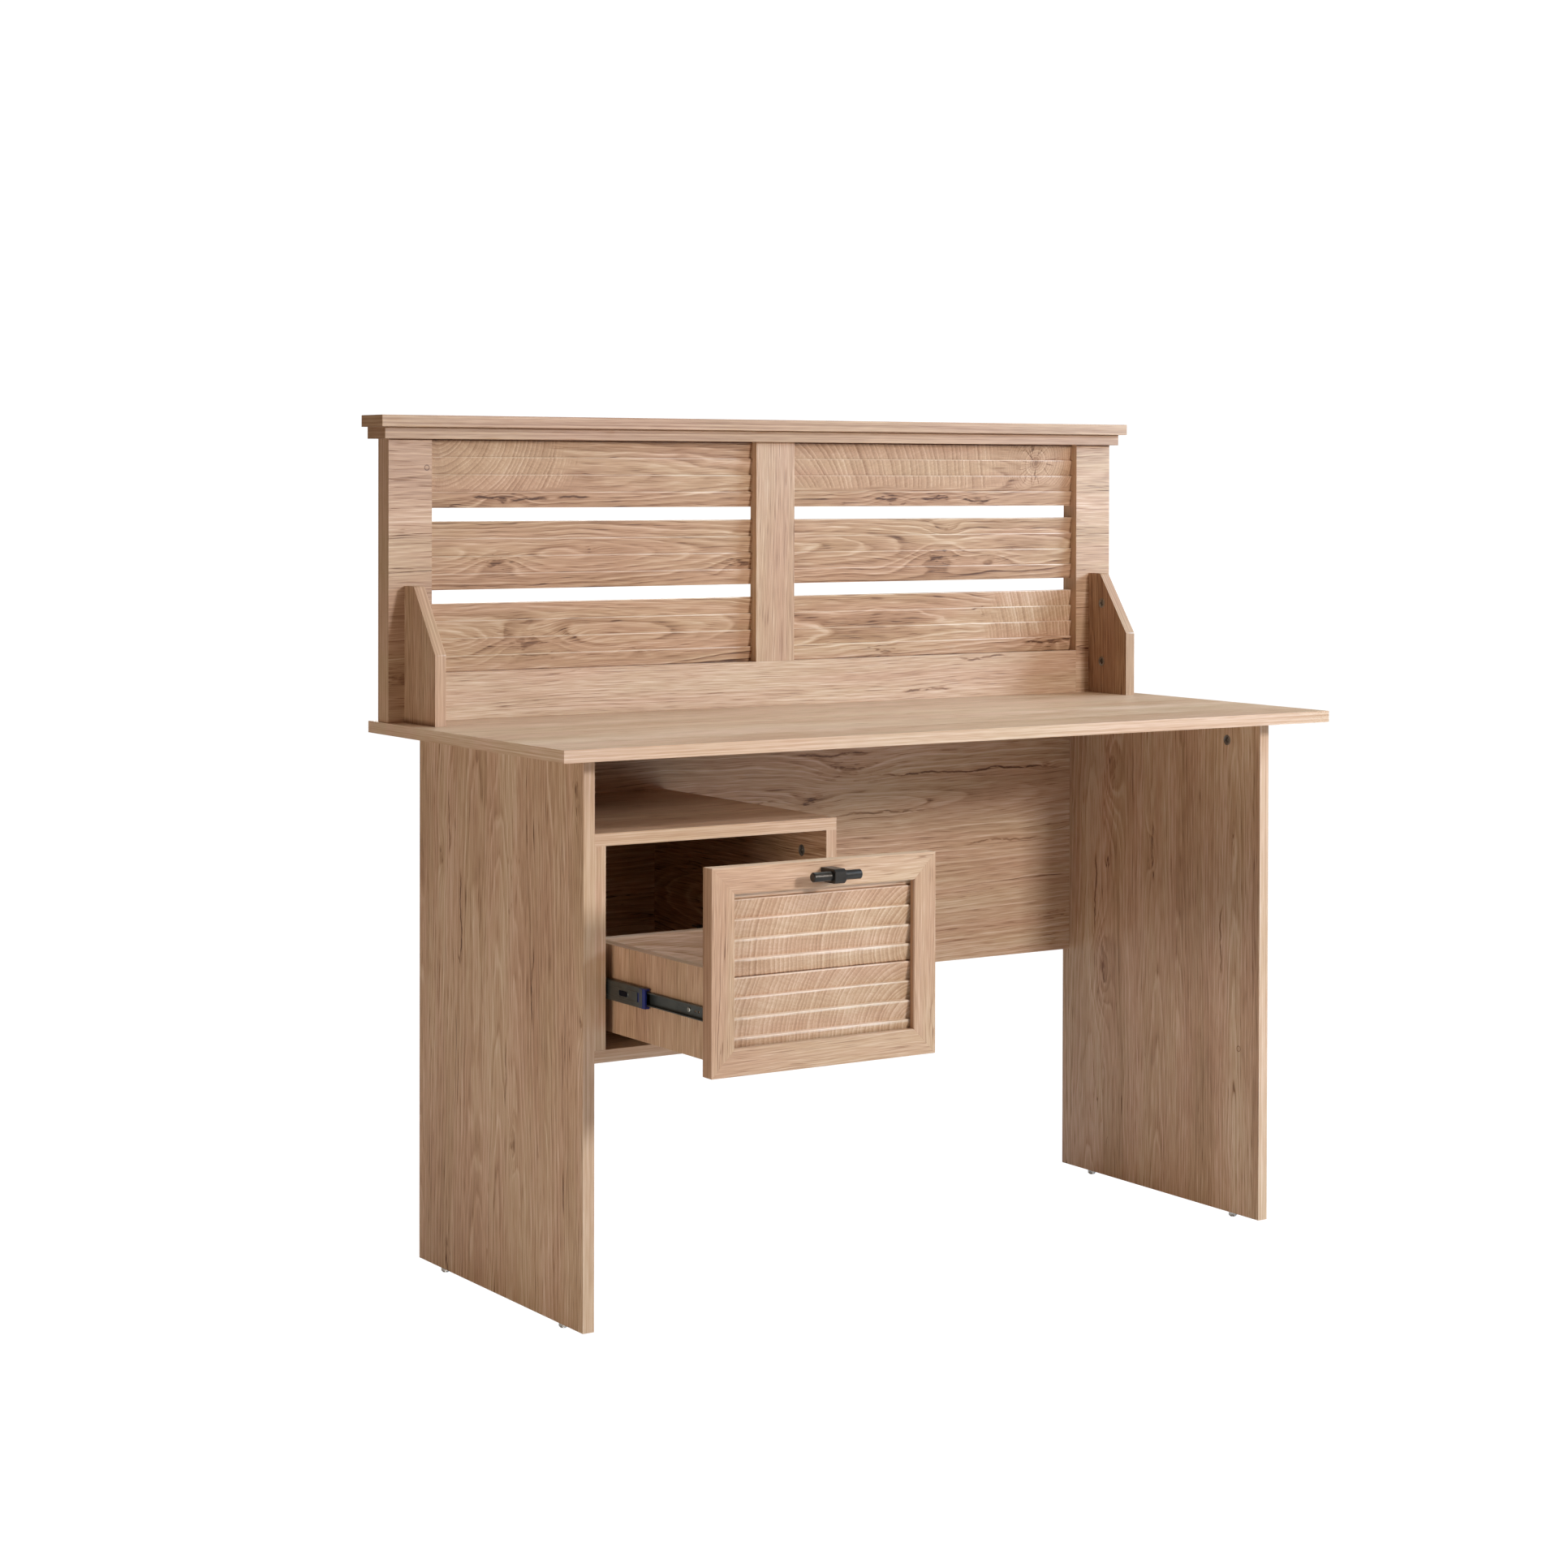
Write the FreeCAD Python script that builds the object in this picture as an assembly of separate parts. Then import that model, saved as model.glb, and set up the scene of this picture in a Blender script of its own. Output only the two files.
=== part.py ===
import FreeCAD, Part
import os

# Student desk with a louvred hutch, an open shelf and one drawer on telescopic ball runners.
# Millimetres. X runs left to right, Y from the user to the back, Z up. The floor is Z = 0,
# X = 0 is the middle of the desk, and Y = 0 is halfway between the knob and the desktop's back edge.
# The drawer is drawn pulled out by drawer_opening, which is its rest position.

# Desk
board = 16.0                        # thickness of every plain board
desktop_width = 1250.0
desktop_depth = 550.0
leg_height = 719.0                  # without its glides
leg_side_inset = 61.0               # leg panels inside the desktop's ends
leg_front_inset = 60.0              # behind the desktop's front edge
leg_back_inset = 34.0
cabinet_width = 363.0               # over both cabinet sides
cabinet_side_height = 255.0
cubby_height = 96.0                 # from the open shelf to the underside of the desktop
glide_height = 7.0
glide_radius = 6.0
glide_edge = 2.0                    # sloped lower edge
glide_inset = 64.0                  # from a leg's front and back edges

# Hutch
hutch_side_inset = 4.0              # end posts inside the desktop's ends
hutch_back_inset = 22.0             # end posts in front of the desktop's back edge
end_post_width = 65.0
end_post_depth = 32.0
middle_post_width = 66.0
rail_height = 65.0
lower_cap_overhang = 10.0           # in front of the posts and past their outer sides
upper_cap_front_step = 10.0         # upper cap past the lower one
upper_cap_side_step = 9.0
cap_back_overhang = 13.0
bracket_inset = 24.0                # from the end post's outer side
bracket_height = 185.0
bracket_depth = 92.0
bracket_nose_height = 95.0          # upright front edge
bracket_top_depth = 28.0            # level top edge
bracket_rounding = 4.0

# Louvre board, a strip of lapped slats moulded in one piece
louvre_height = 94.0
louvre_bottom_slat = 22.0
louvre_slats = 4
louvre_thickness = 12.0
louvre_step = 4.5                   # how far each slat leans back to its lower edge
louvre_nose = 1.2                   # rounding of each slat's proud upper edge
louvre_rows = 3
louvre_gap = 18.5                   # open slot between two boards
louvre_lap = 28.0                   # tongue behind the middle post
louvre_tongue = 7.0                 # thickness of that tongue

# Drawer front
drawer_opening = 248.0              # how far out the drawer stands at rest
front_gap = 2.5                     # round the drawer front
frame_width = 33.0
frame_bevel = 1.5
frame_lip = 8.0                     # wood in front of the louvre boards
frame_rebate = 11.0                 # width of the rebate that holds them
knob_reach = 32.0
knob_neck_width = 16.0
knob_neck_height = 17.5
knob_chamfer = 3.5
knob_bar_radius = 6.0
knob_bar_length = 70.0
knob_bar_edge = 1.2                 # sloped rim at each end
knob_bar_setback = 10.0             # bar's axis behind the neck's front face

# Drawer box
drawer_length = 300.0
drawer_height = 110.0
drawer_lift = 19.5                  # drawer sides above the cabinet's bottom board
drawer_base = 3.0
base_groove_depth = 6.0
base_groove_lift = 10.0             # wood below the groove
groove_clearance = 0.2

# Telescopic runner, three nested members with two caged rows of balls between each pair
runner_width = 12.7                 # from the cabinet side to the drawer side
runner_rise = 56.0                  # its middle above the drawer side's lower edge
runner_behind_front = 2.0           # cabinet member behind the closed drawer front
runner_reserve = 50.0               # travel left before the runner is fully out
sheet = 1.2
cabinet_member_length = 300.0
cabinet_member_height = 35.0
cabinet_member_reach = 9.5          # from the cabinet side to its turned-in lips
cabinet_member_lip = 1.0
middle_member_length = 277.0
middle_member_height = 24.5
middle_member_reach = 10.0          # from the cabinet side to the edges of its flanges
middle_member_lag = 23.0            # behind the cabinet member's front end when closed
drawer_member_height = 16.5
race_depth = 0.4                    # groove that a row of balls runs in
race_inset = 1.6                    # race's middle from the web side of its flange
ball_clearance = 0.025
cage_sheet = 0.8
cage_gap = 0.6                      # between a cage and the webs on both its sides
outer_cage_length = 140.0
outer_cage_margin = 5.0             # cage behind its member's front end, runner fully out
inner_cage_length = 100.0
inner_cage_margin = 14.0
stop_length = 12.0
stop_wall = 2.6
stop_tongue_length = 10.0
stop_tongue_height = 12.0
window_length = 4.0                 # slot in the web that shows the stop's tongue
access_length = 9.0                 # slot in the web that a screwdriver reaches through
access_height = 6.0
access_setback = 42.0
runner_hole_radius = 1.6
runner_holes = (24.0, 32.0)         # from the drawer member's front end

# Cam fittings
cam_radius = 7.5
cam_floor = 4.0                     # wood left under a cam
cam_edge = 32.0                     # from a cam's middle to the joint
bolt_radius = 3.5
bolt_bite = 11.0                    # into the board that the cam pulls on
pocket_clearance = 0.1              # round cams and bolts
leg_cam_setback = 72.0              # from the leg's front edge
side_cam_setback = 59.0             # from the cabinet side's front edge
bracket_cam_heights = (49.0, 139.0)

# Directions and places that follow from the sizes
Vector = FreeCAD.Vector
ACROSS = Vector(1, 0, 0)
BACK = Vector(0, 1, 0)
UP = Vector(0, 0, 1)
sides = (("left", -1), ("right", 1))
desktop_front = (drawer_opening + knob_reach - leg_front_inset - desktop_depth) / 2
desktop_back = desktop_front + desktop_depth
leg_outer = desktop_width / 2 - leg_side_inset
leg_inner = leg_outer - board
leg_front = desktop_front + leg_front_inset
leg_back = desktop_back - leg_back_inset
leg_top = glide_height + leg_height
desktop_top = leg_top + board
panel_front = leg_back - board
shelf_top = leg_top - cubby_height
side_top = shelf_top - board
side_foot = side_top - cabinet_side_height
cabinet_foot = side_foot - board
cabinet_right = cabinet_width - leg_inner
bay_left = board - leg_inner
bay_right = cabinet_right - board
bay_middle = (bay_left + bay_right) / 2
post_back = desktop_back - hutch_back_inset
post_front = post_back - end_post_depth
post_outer = desktop_width / 2 - hutch_side_inset
post_inner = post_outer - end_post_width
middle_half = middle_post_width / 2
rail_top = desktop_top + rail_height
post_top = rail_top + louvre_rows * (louvre_height + louvre_gap) - louvre_gap
louvre_slat = (louvre_height - louvre_bottom_slat) / (louvre_slats - 1)
louvre_back = post_front + board + louvre_tongue
front_face = leg_front - drawer_opening
front_back = front_face + frame_lip + louvre_thickness
front_left = bay_left + front_gap
front_right = bay_right - front_gap
front_foot = side_foot + front_gap
front_top = side_top - front_gap
box_left = bay_left + runner_width
box_right = bay_right - runner_width
box_foot = side_foot + drawer_lift
box_top = box_foot + drawer_height
box_back = front_back + drawer_length
runner_level = box_foot + runner_rise
cabinet_member_front = leg_front + frame_lip + louvre_thickness + runner_behind_front
middle_member_front = cabinet_member_front + middle_member_lag - drawer_opening / 2
middle_web = sheet + 2 * cage_gap + cage_sheet
drawer_flange = middle_web + sheet + 2 * cage_gap + cage_sheet

pieces = {}
cutters = {}


def add(node, shape):
    """Puts one more solid in a node."""
    pieces.setdefault(node, []).append(shape)


def cut(node, shape):
    """Takes a shape out of every solid of a node."""
    cutters.setdefault(node, []).append(shape)


def block(x0, x1, y0, y1, z0, z1):
    """Box between two X, two Y and two Z values."""
    return Part.makeBox(x1 - x0, y1 - y0, z1 - z0, Vector(x0, y0, z0))


def rod(radius, start, axis, length):
    """Round bar from start along axis."""
    return Part.makeCylinder(radius, length, start, axis)


def prism(corners, run):
    """Polygon extruded along run."""
    return Part.Face(Part.makePolygon(corners + [corners[0]])).extrude(run)


def edges_at(shape, points):
    """Edges of a shape whose middles are at the points."""
    return [edge for edge in shape.Edges
            if min((edge.CenterOfMass - point).Length for point in points) < pocket_clearance]


def slab(node, x0, x1, y0, y1, z0, z1):
    """Plain board."""
    add(node, block(x0, x1, y0, y1, z0, z1))


def cam_joint(host, mate, mouth, inward, toward):
    """Cam lock sunk in the host's face at mouth, and its bolt through the edge into the mate."""
    height = board - cam_floor
    rim = mouth + inward * (board / 2) + toward * cam_radius
    reach = cam_edge - cam_radius
    add("cam_locks", rod(cam_radius, mouth, inward, height))
    add("cam_bolts", rod(bolt_radius, rim, toward, reach + bolt_bite))
    cut(host, rod(cam_radius + pocket_clearance, mouth, inward, height))
    cut(host, rod(bolt_radius + pocket_clearance, rim, toward, reach))
    cut(mate, rod(bolt_radius, rim + toward * reach, toward, bolt_bite))


def make_desk():
    """Desktop on two leg panels, which stand on glides and are tied by the modesty panel."""
    slab("desktop", -desktop_width / 2, desktop_width / 2, desktop_front, desktop_back, leg_top,
         desktop_top)
    slab("modesty_panel", -leg_inner, leg_inner, panel_front, leg_back, cabinet_foot, leg_top)
    for side, sign in sides:
        leg = "leg_panel_" + side
        x0, x1 = sorted((sign * leg_inner, sign * leg_outer))
        slab(leg, x0, x1, leg_front, leg_back, glide_height, leg_top)
        mouth = Vector(sign * leg_inner, leg_front + leg_cam_setback, leg_top - cam_edge)
        cam_joint(leg, "desktop", mouth, ACROSS * sign, UP)
        for y in (leg_front + glide_inset, leg_back - glide_inset):
            foot = Vector((x0 + x1) / 2, y, 0)
            glide = rod(glide_radius, foot, UP, glide_height)
            add("floor_glides", glide.makeChamfer(glide_edge, edges_at(glide, [foot])))


def make_cabinet():
    """Open shelf over a drawer bay, between the left leg and the knee space."""
    depth = (leg_front, panel_front)
    slab("open_shelf", -leg_inner, cabinet_right, *depth, side_top, shelf_top)
    slab("cabinet_bottom", -leg_inner, cabinet_right, *depth, cabinet_foot, side_foot)
    slab("cabinet_side_left", -leg_inner, bay_left, *depth, side_foot, side_top)
    slab("cabinet_side_right", bay_right, cabinet_right, *depth, side_foot, side_top)
    for side, face, inward in (("left", bay_left, -ACROSS), ("right", bay_right, ACROSS)):
        mouth = Vector(face, leg_front + side_cam_setback, side_top - cam_edge)
        cam_joint("cabinet_side_" + side, "open_shelf", mouth, inward, UP)


def louvre_board(start, length, height):
    """Moulded strip along +X, cut to a height. start is its lower left end, on the proud edges."""
    noses = [louvre_bottom_slat + louvre_slat * row for row in range(louvre_slats)]
    corners = [Vector(0, louvre_thickness, 0), Vector(0, louvre_step, 0)]
    for nose in noses[:-1]:
        corners += [Vector(0, 0, nose), Vector(0, louvre_step, nose)]
    corners += [Vector(0, 0, louvre_height), Vector(0, louvre_thickness, louvre_height)]
    strip = prism(corners, ACROSS * length)
    strip = strip.makeFillet(louvre_nose, edges_at(strip, [Vector(length / 2, 0, z) for z in noses]))
    return strip.common(block(0, length, 0, louvre_thickness, 0, height)).translated(start)


def make_hutch_louvres():
    """Boards from each end post to behind the middle post, where they are halved to a tongue."""
    crest = louvre_back - louvre_thickness
    length = post_inner - middle_half + louvre_lap
    for row in range(louvre_rows):
        foot = rail_top + row * (louvre_height + louvre_gap)
        for side, sign in sides:
            node = "louvre_" + side + "_" + str(row + 1)
            start = -post_inner if sign < 0 else middle_half - louvre_lap
            x0, x1 = sorted((sign * middle_half, sign * (middle_half - louvre_lap)))
            lap = block(x0, x1, crest, louvre_back - louvre_tongue, foot, foot + louvre_height)
            add(node, louvre_board(Vector(start, crest, foot), length, louvre_height).cut(lap))


def make_bracket(side, sign):
    """Gusset between an end post and the desktop, held to the post by two cams."""
    node = "bracket_" + side
    outer = post_outer - bracket_inset
    x0, x1 = sorted((sign * outer, sign * (outer - board)))
    front = post_front - bracket_depth
    nose = Vector(x0, front, desktop_top + bracket_nose_height)
    shoulder = Vector(x0, post_front - bracket_top_depth, desktop_top + bracket_height)
    corners = [Vector(x0, post_front, desktop_top), Vector(x0, front, desktop_top), nose, shoulder,
               Vector(x0, post_front, desktop_top + bracket_height)]
    gusset = prism(corners, ACROSS * board)
    bends = edges_at(gusset, [bend + ACROSS * (board / 2) for bend in (nose, shoulder)])
    add(node, gusset.makeFillet(bracket_rounding, bends))
    for height in bracket_cam_heights:
        mouth = Vector(sign * (outer - board), post_front - cam_edge, desktop_top + height)
        cam_joint(node, "hutch_post_" + side, mouth, ACROSS * sign, BACK)


def make_hutch():
    """Posts and bottom rail on the desktop, under a stepped double cap."""
    thin = (post_front, post_front + board)
    slab("hutch_rail", -post_inner, post_inner, *thin, desktop_top, rail_top)
    slab("hutch_post_middle", -middle_half, middle_half, *thin, rail_top, post_top)
    for side, sign in sides:
        x0, x1 = sorted((sign * post_inner, sign * post_outer))
        slab("hutch_post_" + side, x0, x1, post_front, post_back, desktop_top, post_top)
        make_bracket(side, sign)
    half = post_outer + lower_cap_overhang
    front = post_front - lower_cap_overhang
    back = post_back + cap_back_overhang
    slab("hutch_cap_lower", -half, half, front, back, post_top, post_top + board)
    half += upper_cap_side_step
    front -= upper_cap_front_step
    slab("hutch_cap_upper", -half, half, front, back, post_top + board, post_top + 2 * board)


def frame_piece(corner, along, inward, length):
    """Mitred piece of the drawer front's frame, bevelled in front and rebated at the back."""
    rebate = frame_width - frame_rebate
    thickness = frame_lip + louvre_thickness
    section = [(0, 0), (frame_width - frame_bevel, 0), (frame_width, frame_bevel),
               (frame_width, frame_lip), (rebate, frame_lip), (rebate, thickness), (0, thickness)]
    bar = prism([corner + inward * width + BACK * depth for width, depth in section], along * length)
    ends = [corner, corner + along * length,
            corner + along * (length - frame_width) + inward * frame_width,
            corner + along * frame_width + inward * frame_width]
    return bar.common(prism(ends, BACK * thickness))


def make_drawer_front():
    """Four mitred pieces round as many louvre boards as fill the frame, the last one cut down."""
    width = front_right - front_left
    height = front_top - front_foot
    low = Vector(front_left, front_face, front_foot)
    high = Vector(front_right, front_face, front_top)
    add("front_rail_bottom", frame_piece(low, ACROSS, UP, width))
    add("front_rail_top", frame_piece(high, -ACROSS, -UP, width))
    add("front_stile_left", frame_piece(low, UP, ACROSS, height))
    add("front_stile_right", frame_piece(high, -UP, -ACROSS, height))
    rebate = frame_width - frame_rebate
    room = height - 2 * rebate
    row = 0
    while room > 0:
        row += 1
        strip = min(louvre_height, room)
        start = Vector(front_left + rebate, front_face + frame_lip, front_top - rebate - room)
        add("front_louvre_" + str(row), louvre_board(start, width - 2 * rebate, strip))
        room -= strip


def make_drawer_box():
    """Two sides, an inner front and a back, grooved for a thin base."""
    left = box_left + board
    right = box_right - board
    whole = (front_back, box_back)
    upright = (box_foot, box_top)
    slab("drawer_side_left", box_left, left, *whole, *upright)
    slab("drawer_side_right", right, box_right, *whole, *upright)
    slab("drawer_inner_front", left, right, front_back, front_back + board, *upright)
    slab("drawer_back", left, right, box_back - board, box_back, *upright)
    ledge = board - base_groove_depth
    plan = (left - base_groove_depth, right + base_groove_depth, front_back + ledge, box_back - ledge)
    foot = box_foot + base_groove_lift
    for wall in ("drawer_side_left", "drawer_side_right", "drawer_inner_front", "drawer_back"):
        cut(wall, block(*plan, foot, foot + drawer_base + groove_clearance))
    slab("drawer_base", *plan, foot, foot + drawer_base)


def make_knob():
    """Round bar through a neck that stands on the drawer front's top rail."""
    level = front_top - frame_width / 2
    tip = front_face - knob_reach
    low = level - knob_neck_height / 2
    high = level + knob_neck_height / 2
    outline = [(front_face, low), (tip + knob_chamfer, low), (tip, low + knob_chamfer),
               (tip, high - knob_chamfer), (tip + knob_chamfer, high), (front_face, high)]
    side = bay_middle - knob_neck_width / 2
    add("knob_neck", prism([Vector(side, y, z) for y, z in outline], ACROSS * knob_neck_width))
    end = Vector(bay_middle - knob_bar_length / 2, tip + knob_bar_setback, level)
    bar = rod(knob_bar_radius, end, ACROSS, knob_bar_length)
    cut("knob_neck", bar)
    rims = edges_at(bar, [end, end + ACROSS * knob_bar_length])
    add("knob_bar", bar.makeChamfer(knob_bar_edge, rims))


def channel(web_back, web_face, reach, height, lip, front, length):
    """Folded sheet channel along Y. Depths are from the cabinet side, and lips turn inwards."""
    turn = sheet if reach > web_back else -sheet
    half = height / 2
    upper = [(web_back, half), (reach, half), (reach, half - sheet - lip),
             (reach - turn, half - sheet - lip), (reach - turn, half - sheet),
             (web_face, half - sheet)]
    if lip == 0:
        upper = upper[:2] + [(reach, half - sheet), upper[-1]]
    outline = upper + [(depth, -level) for depth, level in reversed(upper)]
    corners = [Vector(bay_left + depth, front, runner_level + level) for depth, level in outline]
    return prism(corners, BACK * length)


def ball_rows(outer_height, inner_height, flange):
    """Radius, level and depth of the balls between two nested members."""
    room = (outer_height - inner_height) / 2 - sheet
    radius = room / 2 + race_depth - ball_clearance
    return radius, (inner_height + room) / 2, flange + race_inset


def races(rows, front, length):
    """Shape of the two grooves that the balls run in."""
    radius, level, depth = rows
    spots = [Vector(bay_left + depth, front, runner_level + sign * level) for sign in (-1, 1)]
    return [rod(radius + ball_clearance, spot, BACK, length) for spot in spots]


def ball_cage(rows, web, front, length):
    """Folded strip that carries two rows of balls. A round bar stands in for each whole row."""
    radius, level, depth = rows
    x0 = bay_left + web + cage_gap
    spine = level + cage_sheet / 2
    span = (front, front + length)
    cage = block(x0, x0 + cage_sheet, *span, runner_level - spine, runner_level + spine)
    for z in (runner_level - level, runner_level + level):
        arm = block(x0, bay_left + depth, *span, z - cage_sheet / 2, z + cage_sheet / 2)
        cage = cage.fuse([arm, rod(radius, Vector(bay_left + depth, front, z), BACK, length)])
    return cage.removeSplitter()


def runner_stop():
    """Plastic end of the middle member, open for the drawer member, clipped behind the web."""
    front = middle_member_front - stop_length
    half = middle_member_height / 2
    low = runner_level - stop_tongue_height / 2
    x0 = bay_left + middle_web
    shell = block(x0, bay_left + middle_member_reach, front, middle_member_front,
                  runner_level - half, runner_level + half)
    passage = block(x0 + stop_wall, bay_left + runner_width, front, middle_member_front,
                    runner_level - half + stop_wall, runner_level + half - stop_wall)
    tongue = block(x0 + sheet, x0 + sheet + cage_sheet, middle_member_front,
                   middle_member_front + stop_tongue_length, low, low + stop_tongue_height)
    return shell.cut(passage).fuse(tongue).removeSplitter()


def runner_pieces():
    """Every piece of the left-hand runner, by name without its side."""
    outer = ball_rows(cabinet_member_height, middle_member_height, middle_web)
    inner = ball_rows(middle_member_height, drawer_member_height, drawer_flange)
    outer_races = races(outer, front_back, desktop_depth)
    inner_races = races(inner, front_back, desktop_depth)
    cabinet = channel(0, sheet, cabinet_member_reach, cabinet_member_height, cabinet_member_lip,
                      cabinet_member_front, cabinet_member_length)
    middle = channel(middle_web, middle_web + sheet, middle_member_reach, middle_member_height, 0,
                     middle_member_front, middle_member_length)
    drawer = channel(runner_width, runner_width - sheet, drawer_flange, drawer_member_height, 0,
                     front_back, drawer_length)
    window = middle_member_front + (stop_tongue_length - window_length) / 2
    slots = ((window, window_length, stop_tongue_height),
             (middle_member_front + access_setback, access_length, access_height))
    for front, length, height in slots:
        middle = middle.cut(block(bay_left + middle_web, bay_left + middle_web + sheet, front,
                                  front + length, runner_level - height / 2,
                                  runner_level + height / 2))
    holes = [rod(runner_hole_radius, Vector(box_left - sheet, front_back + setback, runner_level),
                 ACROSS, sheet) for setback in runner_holes]
    return {
        "runner_cabinet": cabinet.cut(outer_races),
        "runner_middle": middle.cut(outer_races + inner_races),
        "runner_drawer": drawer.cut(inner_races + holes),
        "runner_stop": runner_stop(),
        "ball_cage_outer": ball_cage(outer, sheet, cabinet_member_front + outer_cage_margin
                                     + runner_reserve / 4, outer_cage_length),
        "ball_cage_inner": ball_cage(inner, middle_web + sheet, middle_member_front
                                     + inner_cage_margin + runner_reserve / 4, inner_cage_length)}


def make_runners():
    """Left-hand runner and its mirror image on the right."""
    for node, shape in runner_pieces().items():
        add(node + "_left", shape)
        add(node + "_right", shape.mirror(Vector(bay_middle, 0, 0), ACROSS))


def finished(node):
    """A node's solids with its cutters taken out."""
    shapes = [shape.cut(cutters[node]) if node in cutters else shape for shape in pieces[node]]
    return shapes[0] if len(shapes) == 1 else Part.makeCompound(shapes)


make_desk()
make_cabinet()
make_hutch()
make_hutch_louvres()
make_drawer_front()
make_drawer_box()
make_knob()
make_runners()

os.makedirs("parts", exist_ok=True)
for node in pieces:
    finished(node).exportStep("parts/" + node + ".step")
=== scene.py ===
"""Looks of the student desk with louvred hutch: oak boards, edge bands, runners, knob and light."""

import math

import bpy
import numpy as np
from mathutils import Matrix, Vector


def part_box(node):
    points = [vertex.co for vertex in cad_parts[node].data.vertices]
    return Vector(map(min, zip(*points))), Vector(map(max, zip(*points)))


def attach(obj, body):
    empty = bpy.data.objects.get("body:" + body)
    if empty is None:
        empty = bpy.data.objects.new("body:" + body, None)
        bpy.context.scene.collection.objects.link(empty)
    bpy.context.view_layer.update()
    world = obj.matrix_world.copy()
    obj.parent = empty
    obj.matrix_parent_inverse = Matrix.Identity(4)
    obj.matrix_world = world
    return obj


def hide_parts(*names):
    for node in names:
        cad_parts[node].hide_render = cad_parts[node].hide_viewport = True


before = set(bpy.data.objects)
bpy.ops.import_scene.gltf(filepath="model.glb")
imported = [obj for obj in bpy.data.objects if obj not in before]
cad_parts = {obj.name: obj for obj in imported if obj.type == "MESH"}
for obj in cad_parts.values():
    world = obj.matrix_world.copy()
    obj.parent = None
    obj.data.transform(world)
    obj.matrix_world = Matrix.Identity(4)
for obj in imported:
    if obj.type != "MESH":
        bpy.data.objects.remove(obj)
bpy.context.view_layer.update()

ALONG_X, ALONG_Y, ALONG_Z = (1, 0, 0), (0, 1, 0), (0, 0, 1)


# ---------------------------------------------------------------- writing material recipes


class Recipe:
    """One node tree while it is filled. Its calls add nodes and give back the values they make."""

    def __init__(self, tree):
        self.tree = tree

    def wire(self, value, socket):
        """Links another node's output to the socket, or sets the socket to a plain value."""
        if isinstance(value, bpy.types.NodeSocket):
            self.tree.links.new(value, socket)
        else:
            socket.default_value = value

    def add(self, kind, wires=None, **settings):
        node = self.tree.nodes.new(kind)
        for name, value in settings.items():
            setattr(node, name, value)
        for name, value in (wires or {}).items():
            self.wire(value, node.inputs[name])
        return node

    def shared(self, group, **wires):
        """A shared group with its inputs by name, where an underscore stands for a space."""
        node = self.add("ShaderNodeGroup", node_tree=group)
        for name, value in wires.items():
            self.wire(value, node.inputs[name.replace("_", " ").title()])
        return node.outputs

    def math(self, operation, *values):
        return self.add("ShaderNodeMath", dict(enumerate(values)), operation=operation).outputs[0]

    def plus(self, a, b):
        return self.math("ADD", a, b)

    def minus(self, a, b):
        return self.math("SUBTRACT", a, b)

    def times(self, a, b):
        return self.math("MULTIPLY", a, b)

    def most(self, a, b):
        return self.math("MAXIMUM", a, b)

    def apart(self, a, b):
        return self.math("ABSOLUTE", self.minus(a, b))

    def far(self, x, y):
        """The distance of the point x, y from nought."""
        return self.math("SQRT", self.plus(self.times(x, x), self.times(y, y)))

    def swing(self, noise, width):
        """A noise value from nought to one, made to swing that wide and evenly round nought."""
        return self.times(self.minus(noise, 0.5), width)

    def vectors(self, operation, a, b):
        return self.add("ShaderNodeVectorMath", {0: a, 1: b}, operation=operation).outputs[0]

    def scaled(self, vector, by):
        return self.vectors("MULTIPLY", vector, by)

    def moved(self, vector, by):
        return self.vectors("ADD", vector, by)

    def parts(self, vector):
        return self.add("ShaderNodeSeparateXYZ", {0: vector}).outputs[:3]

    def vector(self, x, y, z):
        return self.add("ShaderNodeCombineXYZ", {0: x, 1: y, 2: z}).outputs[0]

    def cloud(self, vector, detail=2.0, rough=0.5):
        """Soft noise, once per unit of the vector: its value, and three values in one colour."""
        node = self.add("ShaderNodeTexNoise", {"Vector": vector, "Scale": 1.0, "Detail": detail,
                                               "Roughness": rough})
        return node.outputs["Fac"], node.outputs["Color"]

    def dice(self, number):
        """Three values that stay the same for one number and jump to others at the next."""
        node = self.add("ShaderNodeTexWhiteNoise", {"W": number}, noise_dimensions="1D")
        return self.parts(node.outputs["Color"])

    def step(self, value, low, high, out_low=0.0, out_high=1.0):
        """The value carried smoothly from low..high to out_low..out_high and held beyond it."""
        node = self.add("ShaderNodeMapRange", {"Value": value, "From Min": low, "From Max": high,
                                               "To Min": out_low, "To Max": out_high},
                        interpolation_type="SMOOTHSTEP")
        return node.outputs[0]

    def blend(self, share, a, b, kind="MIX"):
        node = self.add("ShaderNodeMix", {"Factor": share, "A": a, "B": b}, data_type="RGBA")
        node.blend_type = kind
        return node.outputs["Result"]

    def ramp(self, value, stops):
        node = self.add("ShaderNodeValToRGB", {"Fac": value})
        line = node.color_ramp
        while len(line.elements) < len(stops):
            line.elements.new(0.5)
        for element, (place, colour) in zip(line.elements, stops):
            element.position = place
            element.color = (*colour, 1.0)
        return node.outputs[0]


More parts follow.
